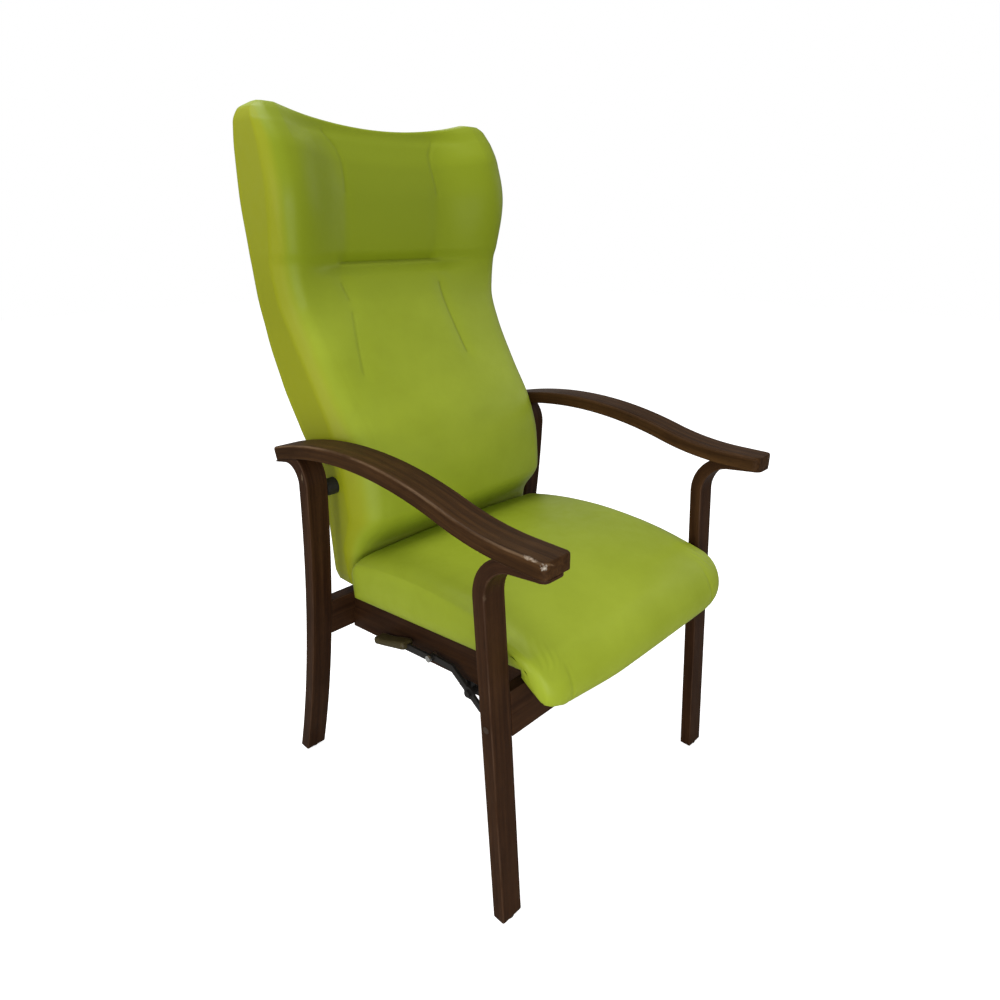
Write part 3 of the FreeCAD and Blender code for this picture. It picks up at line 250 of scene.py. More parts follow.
def dress(tree, shader, colour, roughness, height, strength, distance):
    """Wires a finish: its colour, its roughness and a bump of some strength, distance high."""
    bump = node(tree, "ShaderNodeBump", {"Height": height, "Strength": strength, "Distance": distance})
    tree.links.new(colour, shader.inputs["Base Color"])
    tree.links.new(roughness, shader.inputs["Roughness"])
    tree.links.new(bump.outputs["Normal"], shader.inputs["Normal"])


def darker(colour, share):
    """A share of a colour's brightness."""
    return tuple(share * part for part in colour[:3]) + (1,)


def marked(tree, name, output="Fac"):
    """A value that the mesh carries at its points."""
    return node(tree, "ShaderNodeAttribute", attribute_name=name).outputs[output]


def object_space(tree):
    """Where a point lies in the piece's own space, in metres."""
    return node(tree, "ShaderNodeTexCoord").outputs["Object"]


def noise(tree, vector, scale, detail, roughness=0.5, distortion=0.0):
    """A cloudy value over a vector's space: layers of smooth noise, each finer and fainter."""
    made = node(tree, "ShaderNodeTexNoise", {"Vector": vector, "Scale": scale, "Detail": detail,
                                             "Roughness": roughness, "Distortion": distortion})
    return made.outputs["Fac"]


def mixed(tree, factor, first, second):
    """The colour between first and second by factor."""
    return node(tree, "ShaderNodeMix", {0: factor, 6: first, 7: second}, data_type="RGBA").outputs[2]


def ranged(tree, value, low, high, to_low, to_high):
    """A value carried from the range low..high to the range to_low..to_high, kept inside it."""
    made = node(tree, "ShaderNodeMapRange", {"Value": value, "From Min": low, "From Max": high,
                                             "To Min": to_low, "To Max": to_high})
    return made.outputs["Result"]


def vectors(tree, operation, first, second):
    """Two vectors joined part by part by a named operation."""
    return node(tree, "ShaderNodeVectorMath", {0: first, 1: second}, operation=operation).outputs[0]


def sums(tree, operation, first, second):
    """Two values joined by a named operation."""
    return node(tree, "ShaderNodeMath", {0: first, 1: second}, operation=operation).outputs[0]


# The grain effect: long soft streaks, fine pores and slow blotches along the wood's own length.
wood_grain, group_in, group_out = effect(
    "wood_grain", [("Vector", "Vector", None)], [("Streak", "Float"), ("Pore", "Float"), ("Blotch", "Float")])
for output, stretch, detail, roughness, distortion, low, high in (
        ("Streak", (3.0, 110.0, 110.0), 5.0, 0.6, 0.6, 0.32, 0.68),
        ("Pore", (45.0, 1400.0, 1400.0), 2.0, 0.5, 0.0, 0.56, 0.7),
        ("Blotch", (9.0, 22.0, 22.0), 4.0, 0.6, 0.0, 0.3, 0.7)):
    stretched = vectors(wood_grain, "MULTIPLY", group_in.outputs["Vector"], stretch)
    cloud = noise(wood_grain, stretched, 1.0, detail, roughness, distortion)
    wood_grain.links.new(ranged(wood_grain, cloud, low, high, 0, 1), group_out.inputs[output])

# The wear effect: broken patches along an edge mark.
edge_wear, group_in, group_out = effect(
    "edge_wear", [("Edge", "Float", 0.0), ("Vector", "Vector", None), ("Amount", "Float", 0.5)],
    [("Worn", "Float")])
stretched = vectors(edge_wear, "MULTIPLY", group_in.outputs["Vector"], (11.0, 90.0, 90.0))
rubbed = sums(edge_wear, "MULTIPLY",
              ranged(edge_wear, noise(edge_wear, stretched, 1.0, 6.0, 0.7), 0.36, 0.66, 0.1, 1),
              ranged(edge_wear, group_in.outputs["Edge"], 0.25, 0.95, 0, 1))
edge_wear.links.new(sums(edge_wear, "MULTIPLY", rubbed, group_in.outputs["Amount"]), group_out.inputs["Worn"])

# The spot effect: one ragged patch, used for scratches and for painted highlights, full at its centre and
# gone at its reach on each axis.
scratch_and_highlight_spot, group_in, group_out = effect(
    "scratch_and_highlight_spot",
    [("Vector", "Vector", None), ("Centre", "Vector", None), ("Reach", "Vector", (0.01, 0.01, 0.01))],
    [("Mask", "Float")])
apart = vectors(scratch_and_highlight_spot, "SUBTRACT", group_in.outputs["Vector"], group_in.outputs["Centre"])
shares = vectors(scratch_and_highlight_spot, "DIVIDE", apart, group_in.outputs["Reach"])
far = node(scratch_and_highlight_spot, "ShaderNodeVectorMath", {0: shares}, operation="LENGTH").outputs["Value"]
ragged = ranged(scratch_and_highlight_spot, noise(scratch_and_highlight_spot, group_in.outputs["Vector"], 260.0, 4.0), 0.3, 0.7, -0.4, 0.4)
scratch_and_highlight_spot.links.new(ranged(scratch_and_highlight_spot, sums(scratch_and_highlight_spot, "ADD", far, ragged), 0.35, 1.0, 1, 0),
                      group_out.inputs["Mask"])


def stained(name, dark, light, worn_colour, wear, roughness, spots=()):
    """Stained and lacquered wood: streaks between two browns, darker pores, paler worn edges, and listed pale
    spots: scratches, and painted highlights where light glints.
    """
    made, tree, shader = finish(name)
    grain = marked(tree, "grain", "Vector")
    wood = use(tree, wood_grain, {"Vector": grain})
    worn = use(tree, edge_wear, {"Edge": marked(tree, "edge"), "Vector": grain, "Amount": wear})
    colour = mixed(tree, wood.outputs["Streak"], dark, light)
    colour = mixed(tree, ranged(tree, wood.outputs["Blotch"], 0, 1, 0.0, 0.45), colour, darker(dark, 0.55))
    colour = mixed(tree, ranged(tree, wood.outputs["Pore"], 0, 1, 0, 0.6), colour, (0.008, 0.005, 0.003, 1))
    colour = mixed(tree, worn.outputs["Worn"], colour, worn_colour)
    place = object_space(tree)
    for centre, reach, tint in spots:
        spot = use(tree, scratch_and_highlight_spot, {"Vector": place, "Centre": centre, "Reach": reach})
        colour = mixed(tree, spot.outputs["Mask"], colour, tint)
    lumps = sums(tree, "ADD", ranged(tree, wood.outputs["Streak"], 0, 1, 0, 0.4),
                 ranged(tree, wood.outputs["Pore"], 0, 1, 0, -0.6))
    shine = ranged(tree, wood.outputs["Blotch"], 0, 1, roughness, roughness + 0.14)
    dress(tree, shader, colour, shine, lumps, 0.25, 0.0004)
    shader.inputs["Specular IOR Level"].default_value = 0.06
    return made


BEND_SCRATCHES = [((-0.305, -0.268, 0.587), (0.006, 0.004, 0.009), (0.10, 0.062, 0.034, 1)),
                  ((-0.305, -0.279, 0.601), (0.006, 0.011, 0.004), (0.085, 0.052, 0.030, 1)),
                  ((-0.305, -0.262, 0.572), (0.006, 0.003, 0.007), (0.075, 0.045, 0.026, 1)),
                  ((-0.305, 0.174, 0.634), (0.006, 0.0025, 0.010), (0.15, 0.105, 0.065, 1))]
walnut = stained("walnut_stain", (0.026, 0.0100, 0.0042, 1), (0.060, 0.0262, 0.0105, 1),
                 (0.16, 0.10, 0.065, 1), 0.30, 0.38, BEND_SCRATCHES)

LEAN = math.radians(3.92)
leg_up = np.array([math.sin(LEAN), math.cos(LEAN)])
leg_ahead = np.array([-math.cos(LEAN), math.sin(LEAN)])
FRONT_FOOT = np.array([-0.300, 0.0])
FRONT_THICK = 0.022
FRONT_BEND = 0.053
WEDGE_TIP_THICK = 0.024
GLUED_EDGE = 0.0012
END_CORNER = 0.010
WEDGE = math.radians(7.0)
wedge_back = np.array([math.cos(WEDGE), -math.sin(WEDGE)])
wedge_down = np.array([-math.sin(WEDGE), -math.cos(WEDGE)])
WEDGE_TIP = np.array([-0.366, 0.631])
gap = WEDGE_TIP + wedge_down * FRONT_BEND - FRONT_FOOT - leg_ahead * FRONT_BEND
along_leg = np.linalg.solve(np.column_stack([leg_up, -wedge_back]), gap)[0]
front_center = FRONT_FOOT + leg_ahead * FRONT_BEND + leg_up * along_leg


def on_front_leg(z, depth):
    """The point of the front leg's side line at height z, depth behind its front face."""
    start = FRONT_FOOT - leg_ahead * depth
    return start + leg_up * ((z - start[1]) / leg_up[1])


def front_leg_line(depth, tip):
    """Straight up from the foot, round the bend and along the wedge to its tip."""
    radius = FRONT_BEND + depth
    return np.concatenate([
        straight(on_front_leg(GLIDE_HEIGHT, depth), front_center - leg_ahead * radius, 30),
        bend(front_center, radius, -math.degrees(LEAN), 90 - math.degrees(WEDGE), 22)[1:-1],
        straight(front_center - wedge_down * radius, tip, 16)])


leg_front = front_leg_line(0, WEDGE_TIP)
leg_rear = front_leg_line(FRONT_THICK, WEDGE_TIP + np.array([0, WEDGE_TIP_THICK]))
leg_rear[:, 1] = np.minimum(leg_rear[:, 1], arm_underside(leg_rear[:, 0]))
both_sides("front_leg", "front_leg", walnut,
           *strip(side_view(leg_front, LEG_INSIDE), side_view(leg_rear, LEG_INSIDE), (1, 0, 0), LEG_WIDTH,
                  (LEG_EDGE, GLUED_EDGE), end_round=(END_CORNER, 0.0006)))

# Rear legs: one long laminated curve each, kicked back at the foot, their tops bent back into a short
# wedge that is glued under the arm's rear end. Same stain and lacquer as the front legs.
REAR_KNEE = np.array([0.164, 0.615])
REAR_FOOT = np.array([0.273, 0.0])
REAR_RADIUS = 2.400
REAR_THICK = 0.025
REAR_BEND = 0.032
rear_chord = REAR_FOOT - REAR_KNEE
chord_back = np.array([-rear_chord[1], rear_chord[0]]) / np.linalg.norm(rear_chord)
rear_center = (REAR_KNEE + rear_chord / 2
               + chord_back * math.sqrt(REAR_RADIUS ** 2 - (np.linalg.norm(rear_chord) / 2) ** 2))
knee_back = (rear_center - REAR_KNEE) / np.linalg.norm(rear_center - REAR_KNEE)
bend_center = REAR_KNEE + knee_back * (REAR_BEND + REAR_THICK)
ARM_END_REACH = 0.237
ARM_END_TURN = math.asin(ARM_END_REACH / ARM_ARCH_RADIUS)
REAR_TIP_DROP = 0.002
REAR_TIP_THICK = 0.012
arm_end_way = np.array([math.sin(ARM_END_TURN), math.cos(ARM_END_TURN)])
rear_tip = ARM_ARCH + (ARM_ARCH_RADIUS - ARM_THICK) * arm_end_way - np.array([0, REAR_TIP_DROP])
reach = rear_tip - bend_center
touch_angle = math.degrees(math.atan2(reach[1], reach[0]) + math.acos(REAR_BEND / np.linalg.norm(reach)))
knee_angle = math.degrees(math.atan2(-knee_back[1], -knee_back[0])) % 360


def on_rear_leg(z, depth):
    """The point of the rear leg's sweep at height z, depth behind its front face."""
    radius = REAR_RADIUS - depth
    return np.stack([rear_center[0] - np.sqrt(radius ** 2 - (z - rear_center[1]) ** 2), z], -1)


def rear_leg_line(depth, radius, last, tip):
    """The long sweep up from the foot, round the knee and along the wedge to its tip."""
    knee_point = bend_center - knee_back * radius
    turned = bend(bend_center, radius, knee_angle, last, 20)
    return np.concatenate([on_rear_leg(np.linspace(GLIDE_HEIGHT, knee_point[1], 40), depth)[:-1],
                           turned, straight(turned[-1], tip, 12)[1:]])


rear_inner = rear_leg_line(REAR_THICK, REAR_BEND, touch_angle, rear_tip)
rear_outer = rear_leg_line(0, REAR_BEND + REAR_THICK, 90.0, rear_tip + np.array([0, REAR_TIP_THICK]))
rear_outer[:, 1] = np.minimum(rear_outer[:, 1], arm_underside(rear_outer[:, 0]))
both_sides("rear_leg", "rear_leg", walnut,
           *strip(side_view(rear_inner, LEG_INSIDE), side_view(rear_outer, LEG_INSIDE), (1, 0, 0), LEG_WIDTH,
                  LEG_EDGE))

# Arms: thick laminated strips that arch over the seat and dip into a flat hand rest, rounded at their
# ends and edges, glued on the legs' wedges. The lacquer is rubbed pale along the outer top edge.
ARM_INSIDE = 0.251
ARM_WIDTH = 0.055
ARM_TIP_Y = -0.366
ARM_EDGE = 0.005
# Painted highlights: two pale patches where light glints on the near arm's front tip corner and along its top
# outer edge.
ARM_TIP_HIGHLIGHTS = [((-0.306, -0.366, 0.655), (0.006, 0.007, 0.0085), (0.62, 0.56, 0.47, 1)),
             ((-0.306, -0.343, 0.6595), (0.005, 0.016, 0.0030), (0.36, 0.29, 0.22, 1))]
arm_walnut = stained("walnut_arm", (0.030, 0.0125, 0.0040, 1), (0.078, 0.036, 0.0120, 1),
                     (0.25, 0.16, 0.09, 1), 0.55, 0.44, ARM_TIP_HIGHLIGHTS)
arch_turn = math.degrees(math.atan2(ARM_DIP[1] - ARM_ARCH[1], ARM_DIP[0] - ARM_ARCH[0]))


def arm_line(depth):
    """From the rear end over the arch, round the dip and along the hand rest, at a depth under the top."""
    arch = bend(ARM_ARCH, ARM_ARCH_RADIUS - depth, 90 - math.degrees(ARM_END_TURN), arch_turn, 60)
    dip = bend(ARM_DIP, ARM_DIP_RADIUS + depth, arch_turn - 180, -90, 30)
    return np.concatenate([arch, dip[1:], straight(dip[-1], (ARM_TIP_Y, dip[-1][1]), 10)[1:]])


arm_end = (END_CORNER, 0.002)
points, faces, marks = strip(side_view(arm_line(ARM_THICK), ARM_INSIDE), side_view(arm_line(0), ARM_INSIDE),
                             (1, 0, 0), ARM_WIDTH, (GLUED_EDGE, ARM_EDGE), arm_end, arm_end)
marks["edge"] = marks["edge"] ** 2 * np.where(marks["corner"] == 2, 1.0, 0.3)
both_sides("arm", "arm", arm_walnut, points, faces, marks)

# Rails of the under-frame: straight boards bolted and dowelled between the legs, and two boards along
# the sides that carry the seat. Stained like the legs, their edges just eased.
RAIL_EDGE = 0.002
RAIL_THICK = 0.022
FRONT_RAIL = (0.332, 0.408)
REAR_RAIL = (0.300, 0.376)


def cross_rail(name, node_name, low, high, behind):
    """A board between the legs, from the side-view point low up to high, its thickness going behind."""
    height = np.linalg.norm(high - low)
    face = np.array([[x, *low] for x in (-LEG_INSIDE, LEG_INSIDE)])
    thickness = np.array([0, *behind]) * RAIL_THICK
    board = strip(face, face + thickness, (0, *((high - low) / height)), height, RAIL_EDGE)
    fit_on(piece(name, *board), "frame", "stained_wood", walnut, node_name)


front_low, front_high = (on_front_leg(z, 0) for z in FRONT_RAIL)
cross_rail("rail_front", "front_rail", front_low, front_high, -leg_ahead)
rear_low, rear_high = (on_rear_leg(np.array(z), 0) for z in REAR_RAIL)
rear_up = (rear_high - rear_low) / np.linalg.norm(rear_high - rear_low)
cross_rail("rail_rear", "rear_rail", rear_low, rear_high, np.array([rear_up[1], -rear_up[0]]))
TILT = math.radians(6.0)
SEAT_Z = 0.410


def seat_to_chair(along, square):
    """Side-view points given along and square to the seat's slide, turned by its tilt."""
    return np.stack([along * math.cos(TILT) + square * math.sin(TILT),
                     SEAT_Z - along * math.sin(TILT) + square * math.cos(TILT)], -1)


def side_rail_end(base, direction, square):
    """Where the line at one level of the seat's frame meets the face of a cross rail."""
    start, ahead = seat_to_chair(0.0, square), np.array([-math.cos(TILT), math.sin(TILT)])
    return start + ahead * np.linalg.solve(np.column_stack([ahead, -direction]), base - start)[0]


RAIL_TOP = -0.0233
RAIL_BOTTOM = -0.0943
SIDE_RAIL_INSIDE = 0.190
RAIL_END = (0.0004, 0.0004)
behind_front = on_front_leg(FRONT_RAIL[0], RAIL_THICK)
bottom, top = (np.stack([side_rail_end(behind_front, leg_up, level),
                         side_rail_end(rear_low, rear_up, level)]) for level in (RAIL_BOTTOM, RAIL_TOP))
both_sides("rail_side", "side_rail", walnut,
           *strip(side_view(bottom, SIDE_RAIL_INSIDE), side_view(top, SIDE_RAIL_INSIDE), (1, 0, 0),
                  RAIL_THICK, RAIL_EDGE, RAIL_END, RAIL_END))

# Hidden timber: glued corner blocks, the back's frame of stiles and rails, the seat's
# board and runners. Plain beech and plywood, sanded and left bare.
plain_wood, tree, shader = finish("bare_beech")
turn = node(tree, "ShaderNodeMapping",
            {"Vector": object_space(tree), "Rotation": (0, 0, math.radians(90))})
wood = use(tree, wood_grain, {"Vector": turn.outputs["Vector"]})
colour = mixed(tree, wood.outputs["Streak"], (0.52, 0.36, 0.20, 1), (0.62, 0.46, 0.28, 1))
colour = mixed(tree, ranged(tree, wood.outputs["Pore"], 0, 1, 0, 0.4), colour, (0.33, 0.2, 0.1, 1))
dress(tree, shader, colour, ranged(tree, wood.outputs["Blotch"], 0, 1, 0.55, 0.75),
      wood.outputs["Streak"], 0.2, 0.0003)


def refinish(material, *names):
    """Solids that keep their shape take a new finish."""
    for name in names:
        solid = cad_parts[name]
        solid.data.materials.clear()
        solid.data.materials.append(material)


refinish(plain_wood, "corner_blocks", "rear_rail_dowels", "left_back_stile", "right_back_stile",
         "back_bottom_rail", "back_lumbar_rail", "back_middle_rail", "back_top_rail", "seat_board",
         "left_seat_runner", "right_seat_runner")

# Webbing across the back's frame: seven straps of woven elastic stapled to the stiles' front edges,
# under the padding.
STILE_FRONT = np.array([(-6, -200), (-17, -164), (-27, -84), (-26, 0), (-5, 56), (26, 106), (78, 196),
                        (107, 296), (116, 396), (126, 546)]) / 1000
PIVOT = np.array([0.177035, 0.604])
STRAP_HALF = 0.213
STRAP_THICK = 0.002
STRAP_EDGE = 0.0006
STRAP_WIDTH = 0.050
STRAP_LOWS = [0.496, 0.570, 0.7015, 0.769, 0.8365, 0.966, 1.038]


def smooth_line(at, knots, values):
    """A cubic through the knots whose slope at each is the weighted mean of its two neighbours'
    slopes, or level where they change sign, so that it never overshoots."""
    knots, values = np.asarray(knots, float), np.asarray(values, float)
    step = np.diff(knots)
    slope = np.diff(values) / step
    both = slope[1:] + slope[:-1]
    product = slope[1:] * slope[:-1]
    inside = np.where(product > 0, 2 * product / np.where(both == 0, 1, both), 0)
    tangent = np.concatenate([[slope[0]], inside, [slope[-1]]])
    k = np.clip(np.searchsorted(knots, at) - 1, 0, len(step) - 1)
    t = (at - knots[k]) / step[k]
    return ((2 * t ** 3 - 3 * t ** 2 + 1) * values[k] + (t ** 3 - 2 * t ** 2 + t) * step[k] * tangent[k]
            + (3 * t ** 2 - 2 * t ** 3) * values[k + 1] + (t ** 3 - t ** 2) * step[k] * tangent[k + 1])


woven, group_in, group_out = effect("woven", [("Vector", "Vector", None)], [("Height", "Float")])
warp, weft = (node(woven, "ShaderNodeTexWave", {"Vector": group_in.outputs["Vector"], "Scale": 160.0,
                                                "Distortion": 0.4}, bands_direction=way) for way in "XZ")
woven.links.new(sums(woven, "MAXIMUM", warp.outputs["Fac"], weft.outputs["Fac"]), group_out.inputs["Height"])
strap_web, tree, shader = finish("strap_web")
thread = use(tree, woven, {"Vector": object_space(tree)}).outputs["Height"]
dress(tree, shader, mixed(tree, thread, (0.03, 0.027, 0.024, 1), (0.13, 0.115, 0.10, 1)),
      ranged(tree, thread, 0, 1, 0.95, 0.75), thread, 0.5, 0.0005)
for number, low in enumerate(STRAP_LOWS):
    heights = np.linspace(low, low + STRAP_WIDTH, 9)
    stile = smooth_line(heights - PIVOT[1], STILE_FRONT[:, 1], STILE_FRONT[:, 0]) + PIVOT[0]
    behind = side_view(np.stack([stile, heights], -1), -STRAP_HALF)
    ahead = behind - np.array([0, STRAP_THICK, 0])
    strap = strip(ahead, behind, (1, 0, 0), 2 * STRAP_HALF, STRAP_EDGE)[:2]
    strap = piece("back_strap_%d" % (number + 1), *strap)
    fit_on(strap, "back", "webbing", strap_web, "back_webbing")

# Back cushion: one deep foam pad with wings, a hollow headrest and a soft waist, under a smooth green
# vinyl cover sewn with pleats at the wings and darts below the headrest, slipped over the back's frame.
BACK_HALF = 0.243
BACK_REAR_CROWN = 0.0015
BACK_TOP_DIP = 0.025
BACK_TOP_DIP_RADIUS = 0.920
BACK_SECTIONS = np.array([
    (-200, -14, 38, -14, -15, 8, 8), (-179, -8, 44, -21, -24, 14, 14), (-126, -4, 44, -36, -40, 30, 18),
    (-52, -1, 46, -85, -97, 50, 20), (14, 0, 63, -80, -93, 52, 22), (86, 0, 107, -57, -71, 52, 16),
    (160, 0, 152, -10, -21, 48, 16), (246, 3, 182, 44, 35, 44, 16), (301, 9, 187, 70, 66, 40, 16),
    (341, 14, 184, 74, 83, 38, 16), (362, 16, 183, 73, 102, 38, 16), (386, 18, 183, 66, 94, 38, 16),
    (476, 21, 187, 52, 97, 38, 16), (541, 20, 187, 63, 109, 36, 16), (581, 18, 186, 87, 125, 28, 18),
    (601, 11, 178, 108, 134, 20, 16), (610, -3, 161, 121, 137, 9, 9)]) / 1000
CREASE_Z = 0.968
CREASE_HALF = 0.118
CREASE_SHIFT = 0.012
FOLD_IN = 0.009
FOLD_OUT = 0.004
HOLLOW_FROM = 0.290
HOLLOW_FULL = 0.385
HOLLOW_FLAT = 0.45
FRONT_COLUMNS = 170
BACK_CAP = [(0.3, 0.0012), (0.6, 0.002), (0.85, 0.0024), (1.0, 0.0025)]
TOP_SPINE = 0.141
LOW_SPINE = 0.012


def ease(value, low, high):
    """Nought below low, one above high and a smooth cubic step between them."""
    t = np.clip((value - low) / (high - low), 0, 1)
    return t * t * (3 - 2 * t)


def near_line(x, z, spots):
    """Distance of side points (x, z) from a broken line through spots."""
    best = np.full(np.shape(x), 9.0)
    for (x0, z0), (x1, z1) in zip(spots, spots[1:]):
        run = np.array([x1 - x0, z1 - z0])
        share = np.clip(((x - x0) * run[0] + (z - z0) * run[1]) / (run @ run), 0, 1)
        best = np.minimum(best, np.hypot(x - x0 - share * run[0], z - z0 - share * run[1]))
    return best


def grid_normals(grid):
    """Outward directions of a grid of closed rings: the cross product of its two slopes."""
    around = np.roll(grid, -1, 1) - np.roll(grid, 1, 1)
    up = np.gradient(grid, axis=0)
    normal = np.cross(around, up)
    size = np.linalg.norm(normal, axis=-1, keepdims=True)
    normal = normal / np.maximum(size, 1e-12)
    middle = grid.mean(1, keepdims=True)
    if np.einsum("ijk,ijk->", normal, grid - middle) < 0:
        normal = -normal
    return normal


def caps(rings, shares, spine, lift):
    """More rings past the last one, each a share of the way from it to the spine points, lifted off."""
    return np.stack([rings * (1 - share) + spine * share + np.asarray(lift) * rise for share, rise in shares])


heights = np.concatenate([np.linspace(-0.200, -0.17, 14)[:-1], np.linspace(-0.17, 0.30, 130)[:-1],
                          np.linspace(0.30, 0.40, 46)[:-1], np.linspace(0.40, 0.56, 50)[:-1],
                          np.linspace(0.56, 0.610, 26)])
section = [smooth_line(heights, BACK_SECTIONS[:, 0], BACK_SECTIONS[:, k])[:, None] for k in range(1, 7)]
half, rear, side_front, middle_front, front_round, rear_round = section
half = half + BACK_HALF
across = np.linspace(1, -1, FRONT_COLUMNS)[None]
front_x = across * (half - front_round)
away = np.abs(across)
low_form = 1 - away ** 2
high_form = 1 - ease(away, HOLLOW_FLAT, 1.0)
upper = ease(heights, HOLLOW_FROM, HOLLOW_FULL)[:, None]
front_y = side_front + (middle_front - side_front) * (low_form * (1 - upper) + high_form * upper)
quarter = np.radians(np.linspace(0, 90, 15))[None]
side_share = np.linspace(0, 1, 24)[None, 1:-1]
rear_share = np.linspace(-1, 1, 70)[None, 1:-1]
side_start, side_end = side_front + front_round, rear - rear_round
right_x = np.concatenate([(-(half - front_round) - front_round * np.sin(quarter))[:, 1:],
                          -half + 0 * side_share,
                          -(half - rear_round) - rear_round * np.cos(quarter)], 1)
right_y = np.concatenate([(side_start - front_round * np.cos(quarter))[:, 1:],
                          side_start + (side_end - side_start) * side_share,
                          side_end + rear_round * np.sin(quarter)], 1)
rear_y = rear + BACK_REAR_CROWN * (1 - rear_share ** 2)
ring_x = np.concatenate([front_x, right_x, rear_share * (half - rear_round), -right_x[:, ::-1]], 1)
ring_y = np.concatenate([front_y, right_y, rear_y, right_y[:, ::-1]], 1)
sag = np.maximum(BACK_TOP_DIP - (BACK_TOP_DIP_RADIUS - np.sqrt(BACK_TOP_DIP_RADIUS ** 2 - ring_x ** 2)), 0)
ring_z = PIVOT[1] + heights[:, None] - sag * ease(heights, 0.40, 0.60)[:, None]
back_grid = np.stack([ring_x, PIVOT[0] + ring_y, ring_z], -1)
top_spine, low_spine = (back_grid[row] * np.array([0.97, 0, 1]) + np.array([0, PIVOT[0] + depth, 0])
                        for row, depth in ((-1, TOP_SPINE), (0, LOW_SPINE)))
back_grid = np.concatenate([caps(back_grid[0], BACK_CAP, low_spine, (0, 0, -1))[::-1], back_grid,
                            caps(back_grid[-1], BACK_CAP, top_spine, (0, 0, 1))])
SWELL = 0.005
DRAWN_IN = 0.002
SMOOTHINGS = 14
FRAMES = 20
VOXEL = 0.006
CELL = 0.015


def corners_of(mesh):
    """The mesh's points, one row each."""
    flat = np.empty(len(mesh.vertices) * 3, np.float32)
    mesh.vertices.foreach_get("co", flat)
    return flat.reshape(-1, 3).astype(float)


def puff(name, grid, held, cap, inset):
    """A cushion filled like cloth. Its shape, drawn in by inset, is remeshed in 6 mm cells and blown up
    by pressure for 20 frames. The moves are averaged in 15 mm cells and read back between the cells'
    middles, and the sewn grid swells outwards by their part along its normals, up to cap. The swell is
    smoothed over the grid and its mean brought to the inset, so the cushion keeps its sewn size."""
    rows, columns = grid.shape[:2]
    normals = grid_normals(grid)
    start = grid - normals * inset * held[..., None]
    body = piece(name + "_form", start, [net(rows, columns)])
    body.modifiers.new("cells", "REMESH").mode = "VOXEL"
    body.modifiers["cells"].voxel_size = VOXEL
    shape = bpy.data.meshes.new_from_object(body.evaluated_get(bpy.context.evaluated_depsgraph_get()))
    bag = bpy.data.objects.new(name + "_bag", shape)
    bpy.context.scene.collection.objects.link(bag)
    cloth = bag.modifiers.new("fill", "CLOTH")
    cloth.settings.use_pressure = True
    cloth.settings.uniform_pressure_force = 4.0
    cloth.settings.effector_weights.gravity = 0.0
    cloth.settings.quality = 4
    cloth.settings.tension_stiffness = 25.0
    cloth.settings.compression_stiffness = 25.0
    cloth.settings.bending_stiffness = 4.0
    cloth.point_cache.frame_start = 1
    cloth.point_cache.frame_end = FRAMES
    rest = corners_of(shape)
    for number in range(1, FRAMES + 1):
        bpy.context.scene.frame_set(number)
    moved = corners_of(bag.evaluated_get(bpy.context.evaluated_depsgraph_get()).data)
    bpy.data.objects.remove(bag)
    bpy.data.objects.remove(body)
    bpy.context.scene.frame_set(1)
    corner = rest.min(0) - 3 * CELL
    size = tuple(((rest.max(0) + 3 * CELL - corner) / CELL).astype(int) + 2)
    index = tuple(((rest - corner) / CELL).astype(int).T)
    count, total = np.zeros(size), np.zeros(size + (3,))
    np.add.at(count, index, 1)
    np.add.at(total, index, moved - rest)
    for axis in (0, 1, 2, 0, 1, 2):
        count = (np.roll(count, 1, axis) + 2 * count + np.roll(count, -1, axis)) / 4
        total = (np.roll(total, 1, axis) + 2 * total + np.roll(total, -1, axis)) / 4
    mean = total / np.maximum(count, 1e-6)[..., None]
    spot = (start - corner) / CELL - 0.5
    base = np.floor(spot).astype(int)
    part = spot - base
    swell, weight = np.zeros(grid.shape), np.zeros(grid.shape[:2])
    for step in np.ndindex(2, 2, 2):
        where = tuple(np.moveaxis(base + step, -1, 0))
        share = np.prod(np.where(step, part, 1 - part), axis=-1) * (count[where] > 1e-6)
        swell += share[..., None] * mean[where]
        weight += share
    swell = swell / np.maximum(weight, 1e-6)[..., None]
    outward = cap * np.tanh(np.maximum(np.einsum("ijk,ijk->ij", swell, normals), 0) / cap)
    for _ in range(SMOOTHINGS):
        outward = (np.roll(outward, 1, 1) + 2 * outward + np.roll(outward, -1, 1)) / 4
        outward[1:-1] = (outward[:-2] + 2 * outward[1:-1] + outward[2:]) / 4
    outward = outward - np.average(outward, weights=held) + inset
    return start + normals * (outward * held)[..., None]


def clear_of_ends(rows, closing, ramp):
    """One weight per ring: none on the closing rings of both ends, full after ramp more rings."""
    number = np.arange(rows)
    return ease(np.minimum(number, rows - 1 - number), closing, closing + ramp)[:, None]


rows, columns = back_grid.shape[:2]
z = back_grid[..., 2]
held = ease(z, 0.42, 0.52) * ease(0.2 - grid_normals(back_grid)[..., 1], 0, 0.6)
held = held * clear_of_ends(rows, len(BACK_CAP), 12)
back_grid = puff("back_cushion", back_grid, held, SWELL, DRAWN_IN)

